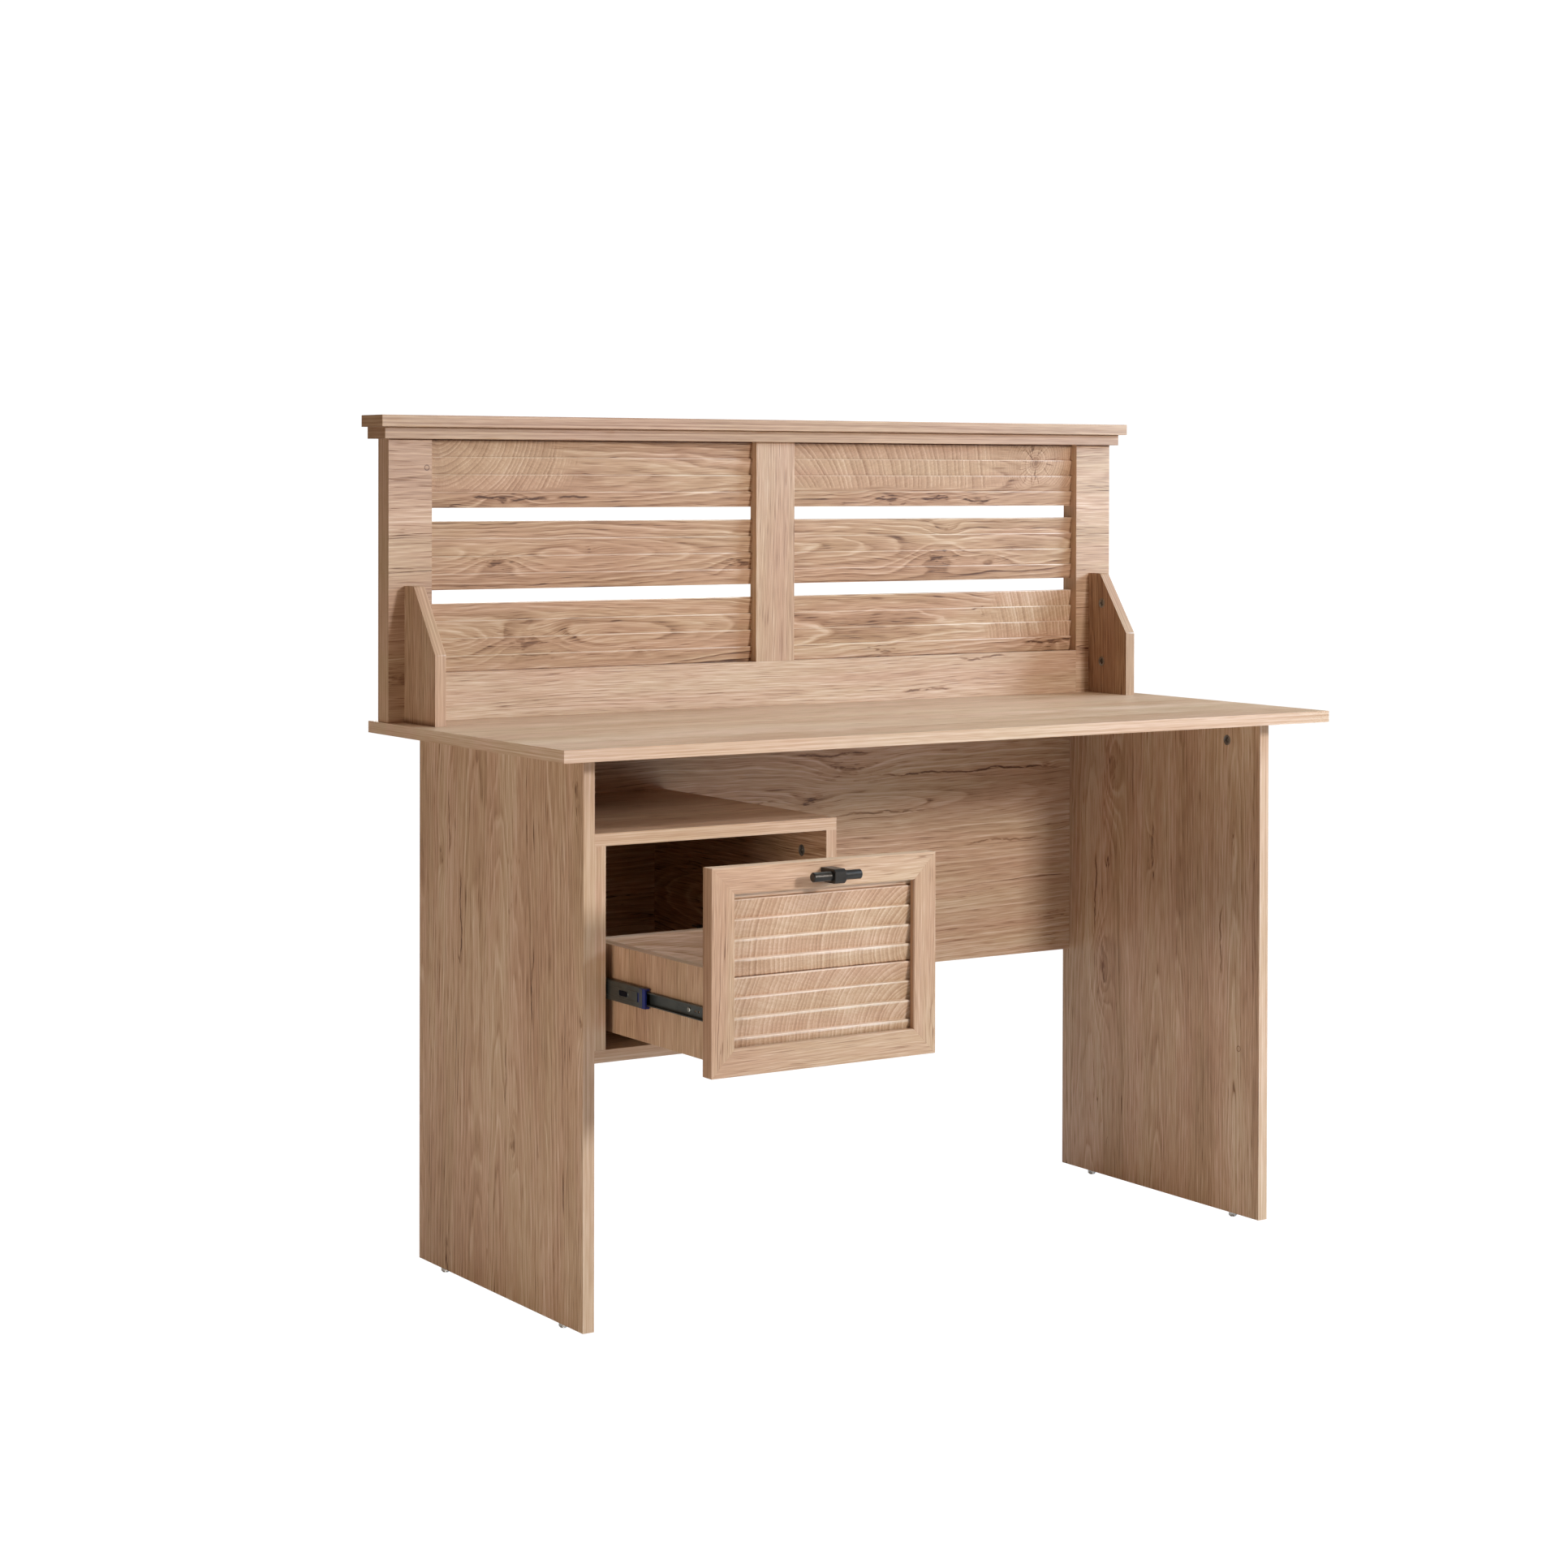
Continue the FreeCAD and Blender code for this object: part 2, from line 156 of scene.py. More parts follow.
def shared_recipe(name, inputs, outputs):
    """A group with named inputs and outputs. Gives the recipe, its inputs and its closing node."""
    tree = bpy.data.node_groups.new(name, "ShaderNodeTree")
    kinds = {"value": "NodeSocketFloat", "vector": "NodeSocketVector", "colour": "NodeSocketColor"}
    for title, kind, start in inputs:
        socket = tree.interface.new_socket(title, in_out="INPUT", socket_type=kinds[kind])
        if start is not None:
            socket.default_value = start
    for title, kind in outputs:
        tree.interface.new_socket(title, in_out="OUTPUT", socket_type=kinds[kind])
    recipe = Recipe(tree)
    opening = recipe.add("NodeGroupInput").outputs
    closing = recipe.add("NodeGroupOutput").inputs
    return recipe, opening, closing


# ---------------------------------------------------------------- printed oak

# The printed oak from its darkest to its palest shade, and the painted highlight on a slat's crest.
OAK_STOPS = [(0.0, (0.085, 0.030, 0.011)), (0.30, (0.280, 0.141, 0.069)),
             (0.62, (0.480, 0.292, 0.173)), (1.0, (0.705, 0.530, 0.390))]
CREST_HIGHLIGHT_COLOUR = (0.80, 0.665, 0.565, 1)
ROSY_TINT, GREENISH_TINT = (1.02, 0.985, 1.0, 1), (0.985, 1.0, 0.965, 1)
FACE_SHADE, BAND_SHADE, CROSS_SHADE = 0.64, 0.69, 0.68

# How often a pattern changes in a metre: along the grain, across it and through the board.
BROAD_TONES = (2.4, 15.0, 4.0)
STREAKS = (6.5, 560.0, 20.0)
FIBRES = (22.0, 1300.0, 300.0)
PORES = (26.0, 850.0, 400.0)
CRACKS = (5.5, 62.0, 4.0)
CRACK_PATCHES = (5.5, 19.0, 3.0)
HUES = (3.0, 26.0, 4.0)
BAND_LINES = (2.2, 2.2, 430.0)
BAND_SPECKS = (30.0, 30.0, 900.0)
RING_DRIFT = (2.2, 8.0, 2.0)
RING_RIPPLE = (16.0, 70.0, 3.0)
RING_BREAKS = (7.0, 38.0, 2.0)

# The log a board is sawn from: where its heart lies beside and below the face, how fast it runs
# away from it, the width of a year, how far the rings wander and how wide the glued planks are.
LOG_INPUTS = [("Seed", "value", 0.0), ("Heart", "value", 0.0), ("Depth", "value", 0.03),
              ("Taper", "value", 0.04), ("Ring Width", "value", 0.006), ("Wander", "value", 0.02),
              ("Plank", "value", 9.0)]


def make_oak_knot():
    """A knot: rings lifted around one place, and a small dark heart with ragged splits along the
    grain. Lift and Dark add to what was there before."""
    r, given, out = shared_recipe("oak_knot", [
        ("Position", "vector", None), ("Place", "vector", None), ("Size", "value", 0.02),
        ("Darkness", "value", 1.0), ("Lift Before", "value", 0.0), ("Dark Before", "value", 0.0),
    ], [("Lift", "value"), ("Dark", "value")])
    x, y, _ = r.parts(r.vectors("SUBTRACT", given["Position"], given["Place"]))
    ragged, _ = r.cloud(r.scaled(given["Position"], (70, 150, 1)), 2.0)
    patches, _ = r.cloud(r.scaled(given["Position"], (42, 240, 1)), 2.0)
    reach = r.math("DIVIDE", r.far(r.times(x, 0.34), y), given["Size"])
    bump = r.math("EXPONENT", r.times(r.times(reach, reach), -0.6))
    lift = r.times(r.times(bump, given["Size"]), 1.25)
    r.wire(r.plus(given["Lift Before"], lift), out["Lift"])
    rim = r.plus(reach, r.swing(ragged, 0.9))
    heart = r.times(r.step(rim, 0.42, 0.08), 0.75)
    halo = r.step(rim, 1.5, 0.3)
    split = r.times(r.step(patches, 0.58, 0.66), halo)
    dark = r.most(heart, r.most(r.times(split, 0.9), r.times(halo, 0.14)))
    dark = r.times(dark, given["Darkness"])
    r.wire(r.most(given["Dark Before"], dark), out["Dark"])
    return r.tree


def make_oak_crack():
    """A crack: a thin dark line that wavers along the grain and breaks off here and there."""
    r, given, out = shared_recipe("oak_crack", [
        ("Position", "vector", None), ("Place", "vector", None), ("Half Length", "value", 0.05),
        ("Darkness", "value", 1.0), ("Dark Before", "value", 0.0),
    ], [("Dark", "value")])
    x, y, _ = r.parts(r.vectors("SUBTRACT", given["Position"], given["Place"]))
    waver, _ = r.cloud(r.scaled(given["Position"], (16, 2, 1)), 4.0)
    gaps, _ = r.cloud(r.scaled(given["Position"], (45, 300, 1)), 2.0)
    beside = r.math("ABSOLUTE", r.plus(y, r.swing(waver, 0.022)))
    line = r.step(beside, 0.0024, 0.0005)
    length = r.step(r.math("DIVIDE", r.math("ABSOLUTE", x), given["Half Length"]), 1.0, 0.6)
    dark = r.times(r.times(r.times(line, length), r.step(gaps, 0.34, 0.46)), given["Darkness"])
    r.wire(r.most(given["Dark Before"], dark), out["Dark"])
    return r.tree


def ring_profile(r, years, seed):
    """A year's dark line: it starts sharply, fades outwards and is stronger in some years than in
    others. Just before it lies the pale line in which the year before ends."""
    uneven, _ = r.cloud(r.vector(r.times(years, 0.55), seed, 0.0), 1.0)
    years = r.plus(years, r.times(uneven, 1.5))
    part = r.math("FRACT", years)
    lots = r.dice(r.plus(r.math("FLOOR", years), r.times(seed, 13.0)))
    fall = r.math("POWER", r.minus(1.0, part), 2.0)
    line = r.times(r.times(r.step(part, 0.0, 0.14), fall), r.plus(0.25, r.times(lots[0], 0.75)))
    pale = r.times(r.times(r.step(part, 0.66, 0.86), r.step(part, 1.0, 0.93)), lots[2])
    return line, pale, part, lots


def make_oak_figure():
    """Growth rings of a sawn board. A ring is a line of equal distance from the log's heart, which
    lies beside and below the face and runs away from it along the board, so the lines close into
    arches. Flow is the way along and across with the same drift, which fibres and pores follow."""
    r, given, out = shared_recipe("oak_figure", [
        ("Position", "vector", None), *LOG_INPUTS, ("Lift", "value", 0.0),
    ], [("Ring", "value"), ("Pale Line", "value"), ("Dark Line", "value"), ("Plank Tone", "value"),
        ("Flow", "vector")])
    seed = given["Seed"]
    x, y, z = r.parts(given["Position"])
    count = r.math("FLOOR", r.plus(r.math("DIVIDE", y, given["Plank"]), 0.5))
    inside = r.minus(y, r.times(count, given["Plank"]))
    throw_a, throw_b, throw_c = r.dice(r.plus(r.times(count, 7.31), seed))
    own = r.math("MINIMUM", r.math("ABSOLUTE", count), 1.0)
    spread = r.times(r.swing(throw_a, given["Plank"]), 1.3)
    heart = r.plus(given["Heart"], r.times(own, spread))
    start = r.vector(r.plus(r.times(seed, 3.7), r.times(count, 5.3)), r.times(seed, 1.9), 0.0)
    place = r.vector(x, inside, z)
    _, drift = r.cloud(r.moved(r.scaled(place, RING_DRIFT), start), 3.0)
    drift_a, drift_b, drift_c = r.parts(drift)
    ripple, _ = r.cloud(r.moved(r.scaled(place, RING_RIPPLE), start), 2.0)
    side = r.plus(r.minus(inside, heart), r.swing(drift_a, given["Wander"]))
    way = r.plus(given["Depth"], r.times(x, given["Taper"]))
    way = r.plus(way, r.times(own, r.swing(throw_b, 0.05)))
    way = r.plus(way, r.swing(drift_b, r.times(given["Wander"], 1.6)))
    far = r.plus(r.far(side, way), given["Lift"])
    far = r.plus(far, r.swing(ripple, 0.0045))
    line, pale, part, lots = ring_profile(r, r.math("DIVIDE", far, given["Ring Width"]), seed)
    broken, _ = r.cloud(r.moved(r.scaled(place, RING_BREAKS), start), 2.0)
    thin = r.times(r.step(part, 0.0, 0.06), r.step(part, 0.30, 0.12))
    dark = r.times(r.times(thin, r.step(lots[1], 0.70, 0.95)), r.step(broken, 0.52, 0.66))
    r.wire(line, out["Ring"])
    r.wire(pale, out["Pale Line"])
    r.wire(dark, out["Dark Line"])
    r.wire(r.times(own, r.minus(throw_c, 0.5)), out["Plank Tone"])
    across = r.plus(r.plus(y, r.times(given["Lift"], 0.5)), r.times(drift_a, given["Wander"]))
    across = r.plus(across, r.times(ripple, 0.0028))
    flow = r.vector(r.plus(x, r.times(drift_c, 0.05)), across, z)
    r.wire(r.moved(flow, start), out["Flow"])
    return r.tree


def make_oak_cross_cut():
    """The log seen nearly from its end: rings round one centre, fine rays that run out from it and,
    where it is split, dark cracks that run out the same way."""
    r, given, out = shared_recipe("oak_cross_cut", [
        ("Position", "vector", None), ("Centre", "vector", None), ("Seed", "value", 0.0),
        ("Ring Width", "value", 0.006), ("Split", "value", 0.0),
    ], [("Shade", "value")])
    seed = given["Seed"]
    off = r.vectors("SUBTRACT", given["Position"], given["Centre"])
    _, drift = r.cloud(r.moved(r.scaled(off, (5, 5, 1)), r.vector(seed, 0.0, 0.0)), 2.0)
    push_a, push_b, _ = r.parts(drift)
    x, y, _ = r.parts(off)
    x = r.plus(x, r.swing(push_a, 0.035))
    y = r.plus(y, r.swing(push_b, 0.035))
    far = r.far(x, y)
    turn = r.math("ARCTAN2", y, x)
    ripple, _ = r.cloud(r.scaled(off, (110, 110, 1)), 1.0)
    rough_far = r.plus(far, r.swing(ripple, 0.0022))
    line, pale, _, _ = ring_profile(r, r.math("DIVIDE", rough_far, given["Ring Width"]), seed)
    rays, _ = r.cloud(r.vector(r.times(turn, 70.0), r.times(far, 22.0), seed), 2.0, 0.7)
    grit, _ = r.cloud(r.scaled(given["Position"], (420, 420, 1)), 2.0, 0.7)
    wide, _ = r.cloud(r.vector(r.times(turn, 3.0), r.times(far, 30.0), seed), 1.0)
    shade = r.plus(r.minus(CROSS_SHADE, r.times(line, 0.34)), r.times(pale, 0.13))
    for noise, width in ((rays, 0.24), (grit, 0.34), (wide, 0.30)):
        shade = r.plus(shade, r.swing(noise, width))
    star, _ = r.cloud(r.vector(r.times(turn, 1.9), r.times(far, 9.0), seed), 2.0)
    split = r.times(r.step(r.apart(star, 0.5), 0.022, 0.004), r.step(far, 0.055, 0.012))
    split = r.most(split, r.times(r.step(far, 0.014, 0.003), 0.6))
    shade = r.minus(shade, r.times(r.times(split, given["Split"]), 0.42))
    r.wire(shade, out["Shade"])
    return r.tree


def make_oak_board():
    """The finish of one board: figure, fibres, pores and cracks on its faces, a straight-lined band
    on its edges. Position and Facing are in board directions: along the grain, across it, through
    it. Nose paints a highlight on what looks upward, Crest blends in a painted highlight colour."""
    r, given, out = shared_recipe("oak_board", [
        ("Position", "vector", None), ("Facing", "vector", None), *LOG_INPUTS,
        ("Figure", "value", 1.0), ("Cracks", "value", 1.0), ("Streaks", "value", 0.88),
        ("Tone", "value", 0.0), ("Lift", "value", 0.0), ("Dark", "value", 0.0),
        ("Cross Shade", "value", 0.6), ("Cross Share", "value", 0.0), ("Nose", "value", 0.0),
        ("Crest", "value", 0.0), ("Band Tone", "value", 0.0),
    ], [("Color", "colour"), ("Roughness", "value"), ("Height", "value")])
    place, seed = given["Position"], given["Seed"]
    start = r.vector(r.times(seed, 2.3), r.times(seed, 5.1), 0.0)
    rings = r.shared(figure_group, position=place, lift=given["Lift"],
                     **{title: given[title] for title, _, _ in LOG_INPUTS})
    flow = rings["Flow"]
    broad, _ = r.cloud(r.moved(r.scaled(place, BROAD_TONES), start), 2.0)
    streak, _ = r.cloud(r.scaled(flow, STREAKS), 3.0, 0.58)
    fibre, _ = r.cloud(r.scaled(flow, FIBRES), 1.0, 0.6)
    pores, _ = r.cloud(r.scaled(flow, PORES), 0.0)
    pore = r.times(r.step(pores, 0.60, 0.74), r.plus(0.45, r.times(rings["Ring"], 1.5)))
    lime = r.step(pores, 0.42, 0.28)
    split, _ = r.cloud(r.scaled(flow, CRACKS), 3.0, 0.55)
    where, _ = r.cloud(r.moved(r.scaled(place, CRACK_PATCHES), start), 1.0)
    crack = r.step(r.apart(split, 0.5), 0.016, 0.003)
    crack = r.times(crack, r.step(where, 0.62, 0.74))
    crack = r.times(r.most(crack, rings["Dark Line"]), given["Cracks"])
    fine = r.plus(r.swing(streak, 0.74), r.swing(fibre, 0.80))
    shade = r.plus(FACE_SHADE, given["Tone"])
    shade = r.plus(shade, r.swing(broad, 0.46))
    shade = r.plus(shade, r.times(fine, given["Streaks"]))
    shade = r.plus(shade, r.times(rings["Plank Tone"], 0.13))
    shade = r.minus(shade, r.times(r.times(rings["Ring"], given["Figure"]), 0.30))
    shade = r.plus(shade, r.times(r.times(rings["Pale Line"], given["Figure"]), 0.16))
    shade = r.minus(shade, r.times(pore, 0.26))
    shade = r.plus(shade, r.times(lime, 0.10))
    shade = r.minus(shade, r.times(crack, 0.46))
    cross = r.plus(given["Cross Shade"], given["Tone"])
    shade = r.plus(shade, r.times(r.minus(cross, shade), given["Cross Share"]))
    shade = r.minus(shade, r.times(given["Dark"], 0.62))
    _, upward, through = r.parts(given["Facing"])
    # Painted highlight: Nose lightens faces that look upward, standing in for light on the slats'
    # noses.
    nose_highlight = r.times(r.step(upward, 0.04, 0.32), given["Nose"])
    face = r.ramp(r.plus(shade, nose_highlight), OAK_STOPS)
    lines, _ = r.cloud(r.moved(r.scaled(place, BAND_LINES), start), 2.0, 0.6)
    specks, _ = r.cloud(r.moved(r.scaled(place, BAND_SPECKS), start), 0.0)
    band_shade = r.plus(r.plus(BAND_SHADE, given["Tone"]), r.swing(lines, 0.80))
    band_shade = r.plus(band_shade, given["Band Tone"])
    band_shade = r.plus(band_shade, r.swing(specks, 0.25))
    # Painted highlight: the Crest bands blend the face towards a pale colour along the slats'
    # crests.
    face = r.blend(given["Crest"], face, CREST_HIGHLIGHT_COLOUR)
    band = r.ramp(r.plus(band_shade, nose_highlight), OAK_STOPS)
    on_edge = r.step(r.math("ABSOLUTE", through), 0.80, 0.60)
    hue, _ = r.cloud(r.moved(r.scaled(place, HUES), start), 2.0)
    tint = r.blend(r.step(hue, 0.34, 0.66), ROSY_TINT, GREENISH_TINT)
    r.wire(r.blend(1.0, r.blend(on_edge, face, band), tint, "MULTIPLY"), out["Color"])
    rough = r.plus(0.47, r.swing(fibre, 0.16))
    rough = r.plus(rough, r.times(r.plus(pore, crack), 0.16))
    r.wire(rough, out["Roughness"])
    height = r.minus(r.times(fibre, 0.35), r.plus(r.times(pore, 0.6), r.times(crack, 1.2)))
    height = r.minus(height, r.times(rings["Ring"], 0.25))
    face_height = r.times(height, r.minus(1.0, on_edge))
    r.wire(r.plus(face_height, r.times(r.times(lines, 0.5), on_edge)), out["Height"])
    return r.tree


knot_group = make_oak_knot()
crack_group = make_oak_crack()
figure_group = make_oak_figure()
cross_group = make_oak_cross_cut()
oak_group = make_oak_board()


def board_turn(grain, across):
    """The turn that carries object directions to board directions."""
    grain, across = Vector(grain), Vector(across)
    return Matrix((grain, across, grain.cross(across)))


def new_material(name):
    material = bpy.data.materials.new(name)
    material.use_nodes = True
    material.node_tree.nodes.clear()
    recipe = Recipe(material.node_tree)
    shader = recipe.add("ShaderNodeBsdfPrincipled")
    finish = recipe.add("ShaderNodeOutputMaterial")
    recipe.wire(shader.outputs[0], finish.inputs["Surface"])
    return material, recipe, shader


def lay_knots(r, wires, place, centre, knots, splits):
    """Lays knots and splits over what the board has so far. A knot is its place along and across
    the grain with its size and darkness, a split the same with its half length."""
    for x, y, size, dark in knots:
        knot = r.shared(knot_group, position=place, place=(x - centre.x, y - centre.y, 0.0),
                        size=size, darkness=dark, lift_before=wires["lift"],
                        dark_before=wires["dark"])
        wires["lift"], wires["dark"] = knot["Lift"], knot["Dark"]
    for x, y, half, dark in splits:
        split = r.shared(crack_group, position=place, place=(x - centre.x, y - centre.y, 0.0),
                         half_length=half, darkness=dark, dark_before=wires["dark"])
        wires["dark"] = split["Dark"]


def lay_eyes(r, wires, place, centre, eyes):
    """Lays small dark rings: place along and across the grain, radius and strength."""
    for x, y, radius, strength in eyes:
        off_x, off_y, _ = r.parts(r.moved(place, (centre.x - x, centre.y - y, 0.0)))
        far = r.far(off_x, off_y)
        ring = r.times(r.step(r.apart(far, radius), 0.0011, 0.0003), strength)
        ring = r.plus(ring, r.times(r.step(far, radius, 0.0), 0.25 * strength))
        wires["dark"] = r.most(wires["dark"], ring)


def lay_bands(r, wires, place, centre, crests, seams):
    """Lays bands along the grain, each with its height, half width and strength: crests are painted
    highlights along the slats' noses, the other bands dark lines: joints to a board's neighbours
    and painted shade under a cap or rail."""
    _, height, _ = r.parts(place)
    waver, _ = r.cloud(r.scaled(place, (45, 5, 1)), 3.0)
    height = r.plus(height, r.swing(waver, 0.0012))
    uneven = r.step(waver, 0.30, 0.62, 0.45, 1.0)
    for level, width, strength in crests:
        band = r.step(r.apart(height, level - centre.y), width, width * 0.5)
        wires["crest"] = r.plus(wires["crest"], r.times(r.times(band, uneven), strength))
    for level, width, strength in seams:
        band = r.step(r.apart(height, level - centre.y), width, width * 0.5)
        wires["dark"] = r.most(wires["dark"], r.times(band, strength))


def lay_cross_cuts(r, wires, place, centre, seed, cross):
    """Lays patches of cross-cut log: each with the place of its ring centre, its ring width, its
    share of splits and the left, right, low and high bounds of the patch, which are ragged."""
    along_fade, across_fade = 0.07, 0.008
    x, y, _ = r.parts(place)
    _, edge = r.cloud(r.scaled(place, (22, 90, 1)), 3.0)
    edge_a, edge_b, _ = r.parts(edge)
    x = r.plus(x, r.swing(edge_a, 0.16))
    y = r.plus(y, r.swing(edge_b, 0.02))
    for centre_x, centre_y, width, split, left, right, low, high in cross:
        middle_of_rings = (centre_x - centre.x, centre_y - centre.y, 0.0)
        log = r.shared(cross_group, position=place, centre=middle_of_rings,
                       seed=seed + centre_x, ring_width=width, split=split)
        left, right, low, high = (left - centre.x, right - centre.x,
                                  low - centre.y, high - centre.y)
        share = r.times(r.step(x, left, left + along_fade), r.step(x, right, right - along_fade))
        share = r.times(share, r.step(y, low, low + across_fade))
        share = r.times(share, r.step(y, high, high - across_fade))
        change = r.times(r.minus(log["Shade"], wires["cross_shade"]), share)
        wires["cross_shade"] = r.plus(wires["cross_shade"], change)
        wires["cross_share"] = r.most(share, wires["cross_share"])


def oak(name, centre, grain, across, seed, knots=(), splits=(), cross=(), crests=(), seams=(),
        eyes=(), **figure):
    """The printed oak of one board, laid out from the board's centre."""
    material, r, shader = new_material(name)
    shader.inputs["Specular IOR Level"].default_value = 0.60
    turn = board_turn(grain, across)
    euler = turn.to_euler("XYZ")
    centre = turn @ Vector(centre)
    where = r.add("ShaderNodeTexCoord").outputs
    place = r.add("ShaderNodeMapping", {"Vector": where["Object"], "Location": -centre,
                                        "Rotation": euler}, vector_type="POINT").outputs[0]
    facing = r.add("ShaderNodeMapping", {"Vector": where["Normal"], "Rotation": euler},
                   vector_type="POINT").outputs[0]
    wires = {"lift": 0.0, "dark": 0.0, "crest": 0.0, "cross_shade": 0.6, "cross_share": 0.0,
             **figure}
    lay_knots(r, wires, place, centre, knots, splits)
    lay_eyes(r, wires, place, centre, eyes)
    if crests or seams:
        lay_bands(r, wires, place, centre, crests, seams)
    if cross:
        lay_cross_cuts(r, wires, place, centre, seed, cross)
    look = r.shared(oak_group, position=place, facing=facing, seed=seed, **wires)
    bump = r.add("ShaderNodeBump", {"Strength": 0.35, "Distance": 0.0004, "Height": look["Height"]})
    r.wire(look["Color"], shader.inputs["Base Color"])
    r.wire(look["Roughness"], shader.inputs["Roughness"])
    r.wire(bump.outputs[0], shader.inputs["Normal"])
    return material


# ---------------------------------------------------------------- the other finishes


def speckled(name, colour, other, rough, metallic=0.0, grain=900.0, sheen=(1, 1, 1)):
    """A plain finish with a fine uneven colour, roughness and surface."""
    material, r, shader = new_material(name)
    shader.inputs["Metallic"].default_value = metallic
    shader.inputs["Specular Tint"].default_value = (*sheen, 1)
    place = r.scaled(r.add("ShaderNodeTexCoord").outputs["Object"], (grain, grain, grain))
    fine, _ = r.cloud(place, 3.0)
    wide, _ = r.cloud(r.scaled(place, (0.05, 0.05, 0.05)), 2.0)
    share = r.plus(r.times(fine, 0.5), r.times(wide, 0.5))
    shades = r.blend(r.step(share, 0.3, 0.7), (*colour, 1), (*other, 1))
    r.wire(shades, shader.inputs["Base Color"])
    r.wire(r.step(fine, 0.3, 0.7, rough - 0.07, rough + 0.07), shader.inputs["Roughness"])
    bump = r.add("ShaderNodeBump", {"Strength": 0.5, "Distance": 0.00005, "Height": fine})
    r.wire(bump.outputs[0], shader.inputs["Normal"])
    return material


zinc = speckled("zinc_plated_steel", (0.085, 0.090, 0.082), (0.135, 0.140, 0.128), 0.38,
                metallic=0.85, grain=700)
bright_zinc = speckled("bright_zinc_screws", (0.42, 0.42, 0.38), (0.55, 0.55, 0.50), 0.30,
                       metallic=0.9, grain=700)
die_cast = speckled("die_cast_zinc", (0.20, 0.175, 0.15), (0.32, 0.29, 0.25), 0.45, metallic=0.8)
black = speckled("satin_black_paint", (0.006, 0.006, 0.006), (0.011, 0.011, 0.011), 0.36,
                 sheen=(1.0, 0.86, 0.74))
# Near-black painted shadow for the inside of the runners' access holes.
hole_shadow = speckled("painted_hole_shadow", (0.0015, 0.0015, 0.003), (0.004, 0.004, 0.008), 0.75,
                  sheen=(0.1, 0.1, 0.12))
blue = speckled("blue_runner_plastic", (0.004, 0.010, 0.095), (0.010, 0.022, 0.17), 0.40)
fibreboard = speckled("drawer_base_board", (0.52, 0.38, 0.26), (0.60, 0.45, 0.33), 0.55,
                      grain=300)


def clear_glide_plastic():
    """Milky clear plastic of the floor glides."""
    material, r, shader = new_material("clear_glide_plastic")
    shader.inputs["Transmission Weight"].default_value = 0.55
    shader.inputs["IOR"].default_value = 1.49
    place = r.scaled(r.add("ShaderNodeTexCoord").outputs["Object"], (600, 600, 600))
    fine, _ = r.cloud(place, 2.0)
    shades = r.blend(fine, (0.72, 0.70, 0.66, 1), (0.82, 0.80, 0.77, 1))
    r.wire(shades, shader.inputs["Base Color"])
    r.wire(r.step(fine, 0.3, 0.7, 0.28, 0.42), shader.inputs["Roughness"])
    return material


glide = clear_glide_plastic()


# ---------------------------------------------------------------- dressing the boards


def dress(name, material, edge=0.0004):
    """Gives a CAD node its finish, and its sharp edges the small round that an edge band has."""
    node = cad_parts[name]
    for place in node.material_slots:
        place.material = material
    if edge:
        weld = node.modifiers.new("weld", "WELD")
        weld.merge_threshold = 0.00001
        bevel = node.modifiers.new("edge_round", "BEVEL")
        bevel.width = edge
        bevel.segments = 2
        bevel.limit_method = "ANGLE"
        bevel.angle_limit = math.radians(35)


def middle(name):
    low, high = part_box(name)
    return [(a + b) / 2 for a, b in zip(low, high)]


def board(name, grain, across, seed, **figure):
    dress(name, oak(name + "_oak", middle(name), grain, across, seed, **figure))


# A patch of cross-cut log is open on the side that has this bound.
ANY = 9.0
# Dark lines: height, half width and strength. Those at the cap's underside are painted shade under
# the cap; the one at the rail's top is a dark line where the louvres meet the rail.
CAP_UNDERSIDE, RAIL_TOP = 1.126, 0.807
POST_CAP_SHADE, LOUVRE_CAP_SHADE = (CAP_UNDERSIDE, 0.0016, 1.0), (CAP_UNDERSIDE, 0.0022, 1.25)
RAIL_SEAM = (RAIL_TOP, 0.0016, 0.7)
# Painted highlights on the crests of the drawer's slats: height over the board's foot, half width
# and strength.
SLAT_CREST_HIGHLIGHTS = [(0.022, 0.0026, 0.62), (0.046, 0.0025, 0.65), (0.070, 0.0018, 0.60),
               (0.094, 0.0014, 0.35)]

LEG = {"plank": 0.085, "ring_width": 0.0055, "taper": 0.035, "figure": 0.9, "cracks": 1.2,
       "streaks": 0.7}
POST = {"figure": 0.5, "streaks": 0.6}
END_POST = {"ring_width": 0.005, "depth": 0.2, "seams": [POST_CAP_SHADE], **POST}
CAP = {"ring_width": 0.005, "heart": 0.1, "tone": -0.20}
BRACKET = {"ring_width": 0.005, "heart": 0.05, "figure": 0.6, "streaks": 0.7}
# Nose is the strength of the painted highlight on the slats' upward-looking faces.
LOUVRE = {"nose": 0.28, "streaks": 0.72, "figure": 1.15}
FRONT_FRAME = {"ring_width": 0.004, "heart": 0.08, "streaks": 0.5}
DRAWER_SIDE = {"ring_width": 0.004, "heart": 0.3, "figure": 0.3, "streaks": 0.8}

